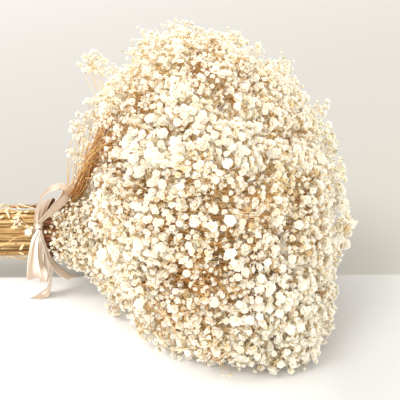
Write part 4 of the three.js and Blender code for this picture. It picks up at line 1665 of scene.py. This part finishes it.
# %% Satin finish
# The darkest colour of the satin's painted shade, and the paler woven edge.
PAINTED_SATIN_SHADE, SELVAGE_PALE = (0.38, 0.26, 0.165, 1), (0.86, 0.74, 0.61, 1)
SELVAGE_FROM, SELVAGE_TO = 0.0098, 0.0103  # where the woven edge starts, from the ribbon's middle, in metres
satin, tree, shader = material("satin", 0.32)
where = node(tree, "UVMap").outputs["UV"]
parts = node(tree, "SeparateXYZ", Vector=where)
threads = node(
    tree, "TexWave", {"wave_type": "BANDS", "bands_direction": "Y"},
    Vector=where, Scale=900.0, Distortion=1.5, Detail=2.0,
)
cloud = node(tree, "TexNoise", Vector=where, Scale=90.0, Detail=3.0).outputs["Fac"]
# Painted sheen: the colour is pale where the ribbon faces the eye and tan where it turns away.
turned = node(tree, "LayerWeight", Blend=0.5).outputs["Facing"]
colour = ramp(
    tree, turned,
    (0.0, (0.92, 0.86, 0.79)), (0.08, (0.84, 0.75, 0.66)),
    (0.25, (0.73, 0.60, 0.48)), (0.6, (0.62, 0.48, 0.35)),
)
shade = ramp(tree, cloud, (0.3, (0.90, 0.88, 0.86)), (0.7, (1, 1, 1)))
colour = blend(tree, 1.0, colour, shade, "MULTIPLY")
colour = blend(tree, 0.12, colour, threads.outputs["Color"], "MULTIPLY")
# Painted shade: the satin turns darker where the ribbon's points carry a value.
colour = blend(tree, attribute(tree, "old_patch_and_painted_shade"), colour, PAINTED_SATIN_SHADE)
from_middle = arithmetic(tree, "ABSOLUTE", parts.outputs["Y"])
selvage = node(tree, "MapRange", _0=from_middle, _1=SELVAGE_FROM, _2=SELVAGE_TO).outputs[0]
colour = blend(tree, arithmetic(tree, "MULTIPLY", selvage, 0.5), colour, SELVAGE_PALE)
tree.links.new(colour, shader.inputs["Base Color"])
height = arithmetic(tree, "ADD", arithmetic(tree, "MULTIPLY", threads.outputs["Fac"], 0.25), selvage)
bump(tree, shader, height, 0.35, 0.0002)
shader.inputs["Metallic"].default_value = 0.2
shader.inputs["Anisotropic"].default_value = 0.5
shader.inputs["Sheen Weight"].default_value = 0.25
shader.inputs["Sheen Roughness"].default_value = 0.4
shader.inputs["Specular IOR Level"].default_value = 0.8

# %% The ribbon piece
RIBBON_THICKNESS = 0.0003  # in metres
ribbon = piece("ribbon", ribbon_mesh, satin, "satin", "satin_ribbon")
thickness = ribbon.modifiers.new("thickness", "SOLIDIFY")
thickness.thickness, thickness.offset = RIBBON_THICKNESS, 0

# %% [markdown]
# ## The knot
#
# The knot is the ribbon's middle, pulled tight round the crossing. It is a closed band, gathered
# into pleats and bulging in its middle.

# %% Knot
KNOT_OUT = Vector((0, math.cos(KNOT_ROUND), math.sin(KNOT_ROUND)))
KNOT_UP = Vector((0, math.sin(KNOT_ROUND), -math.cos(KNOT_ROUND)))
KNOT_WIDE, KNOT_DEEP, KNOT_TALL = 4.8, 4.6, 4.6  # half its size each way
ROUND, BROAD = 36, 14  # its faces round and across
knot_centre = KNOT_OUT * (WRAP_RADIUS + 3.2)
bm = bmesh.new()
uv, old_patch_and_painted_shade = bm.loops.layers.uv.verify(), bm.verts.layers.float.new("old_patch_and_painted_shade")
made = bmesh.ops.create_grid(bm, x_segments=ROUND, y_segments=BROAD, size=0.5)["verts"]
for v in made:
    a, u = 2 * math.pi * (v.co.x + 0.5), v.co.y * 2
    # The whole knot gets some painted shade.
    v[old_patch_and_painted_shade] = 0.4
    bulge = 1 - 0.32 * u * u + 0.10 * math.sin(5.5 * u + 0.5 + 0.8 * math.sin(a))
    for loop in v.link_loops:
        loop[uv].uv = (a * 0.006, u * 0.011)
    v.co = (
        knot_centre + Vector((1, 0, 0)) * (KNOT_WIDE * bulge * math.cos(a))
        + KNOT_OUT * (KNOT_DEEP * bulge * math.sin(a))
        + KNOT_UP * (u * KNOT_TALL + 0.8 * math.sin(a + 1))
    )
bmesh.ops.remove_doubles(bm, verts=bm.verts, dist=0.01)
bmesh.ops.recalc_face_normals(bm, faces=bm.faces)
for face in bm.faces:
    face.smooth = True
knot = piece("ribbon_knot", bm, satin, "satin", "satin_ribbon")
wall = knot.modifiers.new("thickness", "SOLIDIFY")
wall.thickness, wall.offset = 2 * RIBBON_THICKNESS, -1

# %% [markdown]
# ## Loose sprigs on the bundle
#
# A few sprigs were caught under the ribbon and lie on the bundle beside the knot, and thin broken
# twigs lie among the stems all the way round.

# %% Loose sprigs
SKIN = 2.4  # from the middle of an outer strand to its surface


def on_bundle(x, degrees, lift):
    """A place on the bundle's skin. 0 degrees is the front and 90 the top."""
    a = math.radians(degrees)
    r = bundle_radius + SKIN + lift
    return Vector((x, -r * math.cos(a), r * math.sin(a)))


sprig_twigs, sprig_flowers = bmesh.new(), bmesh.new()
SPRIGS = [  # x, degrees, diameter
    (-10, 21, 8.6), (-7, 29, 4.2), (-12, 33, 3.2), (-24, 41, 4.6), (-22, 46, 4.0),
    (-20, 36, 3.8), (-26, 36, 3.4), (-23, 31, 3.0), (-18, 41, 3.2),
]
DOUBLE_FROM, CUP_FROM = 5, 3.5  # the least diameters
root = on_bundle(-3, 30, 0.6)
for x, degrees, size in SPRIGS:
    place = on_bundle(x, degrees, 1.5)
    out = (place - Vector((x, 0, 0))).normalized()
    arrive = (out + Vector((-0.6, 0, 0))).normalized()
    limb(sprig_twigs, root, Vector((-1, 0, 0)), place, arrive, (0.4, 0.26), 5, 3, 0.8)
    form = chance.choice(doubles if size > DOUBLE_FROM else cups if size > CUP_FROM else buds)
    add_blossom(sprig_flowers, form, place, (out + Vector((-0.4, 0, 0))).normalized(), size, 0.6)

# %% Loose twigs and a broken stem
LOOSE_TWIGS = 60
CLEAR_OF_RIBBON = -8
for _ in range(LOOSE_TWIGS):
    x, degrees = chance.uniform(-172, -14), chance.uniform(0, 360)
    length, turn = chance.uniform(10, 34), chance.uniform(-55, 55)
    begin, end = on_bundle(x, degrees, 0.3), on_bundle(x + length, degrees + turn, 0.5)
    middle = on_bundle(x + length / 2, degrees + turn / 2, 1.8)
    if end.x > CLEAR_OF_RIBBON:
        continue
    path = [begin, begin.lerp(middle, 0.5) + jitter(0.4), middle, middle.lerp(end, 0.5) + jitter(0.4), end]
    tube(sprig_twigs, path, [0.5, 0.45, 0.4, 0.35, 0.25], 4, chance.uniform(0.5, 1.0))
broken = [on_bundle(x, 109 + 0.04 * x, -0.9) + jitter(0.15) for x in range(-38, 4, 6)]
tube(sprig_twigs, broken, [1.1, 1.25, 1.2, 1.3, 1.2, 1.2, 1.0], 6, 0.0)


# %% [markdown]
# ## Dry leaves
#
# Shreds of dry leaf still cling to the stems. Each starts as a small flat grid, is drawn out to a
# point at both ends, folded a little along its middle and curled away from the bundle.

# %% Dry leaves
def leaf(bm, place, along, normal, length, width, curl, tint):
    """A narrow dry leaf, which tapers to both ends and curls away from what it lies on."""
    made = bmesh.ops.create_grid(bm, x_segments=2, y_segments=6, size=0.5)["verts"]
    aside = along.cross(normal).normalized()
    tints = bm.verts.layers.float["tint"]
    for v in made:
        t, u = v.co.y + 0.5, v.co.x * 2
        half = width / 2 * math.sin(math.pi * min(max(t, 0.06), 0.97)) ** 0.6
        turn = curl * t
        v[tints] = tint
        v.co = (
            place + along * (length * math.sin(turn) / curl) + aside * (u * half)
            + normal * (length * (1 - math.cos(turn)) / curl + abs(u) * half * 0.5)
        )


leaves = bmesh.new()
for name in ("tint", "knot"):
    leaves.verts.layers.float.new(name)
LEAF_AREAS = [  # how many, from x to x, and from degrees to degrees
    (46, -172, -8, 0, 360), (26, -62, -6, 48, 112),
]
for count, x0, x1, from_degrees, to_degrees in LEAF_AREAS:
    for _ in range(count):
        x, degrees = chance.uniform(x0, x1), chance.uniform(from_degrees, to_degrees)
        place = on_bundle(x, degrees, -0.2)
        normal = Vector((0, place.y, place.z)).normalized()
        round_way = Vector((1, 0, 0)).cross(normal)
        slant = math.radians(chance.gauss(0, 28)) + (math.pi if chance.random() < 0.5 else 0)
        along = Vector((math.cos(slant), 0, 0)) + round_way * math.sin(slant)
        length, width = chance.uniform(5, 15), chance.uniform(1.2, 3.0)
        curl, tint = chance.uniform(0.3, 1.1), chance.uniform(0.75, 1.0)
        leaf(leaves, place, along, normal, length, width, curl, tint)
for face in leaves.faces:
    face.smooth = True

# %% The sprig pieces
piece("sprig_twigs", sprig_twigs, twig_finish, "dried_stem")
piece("sprig_leaves", leaves, twig_finish, "dried_stem")
piece("sprig_flowers", sprig_flowers, petal, "dried_blossom")

# %% [markdown]
# ## Measure the result
#
# The finished model has to keep to the engineering model's size. A count of triangles shows
# whether so many blossoms are still light enough.

# %% Measure and finish
triangles = 0
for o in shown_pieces():
    if o.type == "MESH" and "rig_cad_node" not in o:
        triangles += sum(len(p.vertices) - 2 for p in o.data.polygons)
print("triangles made here:", triangles)
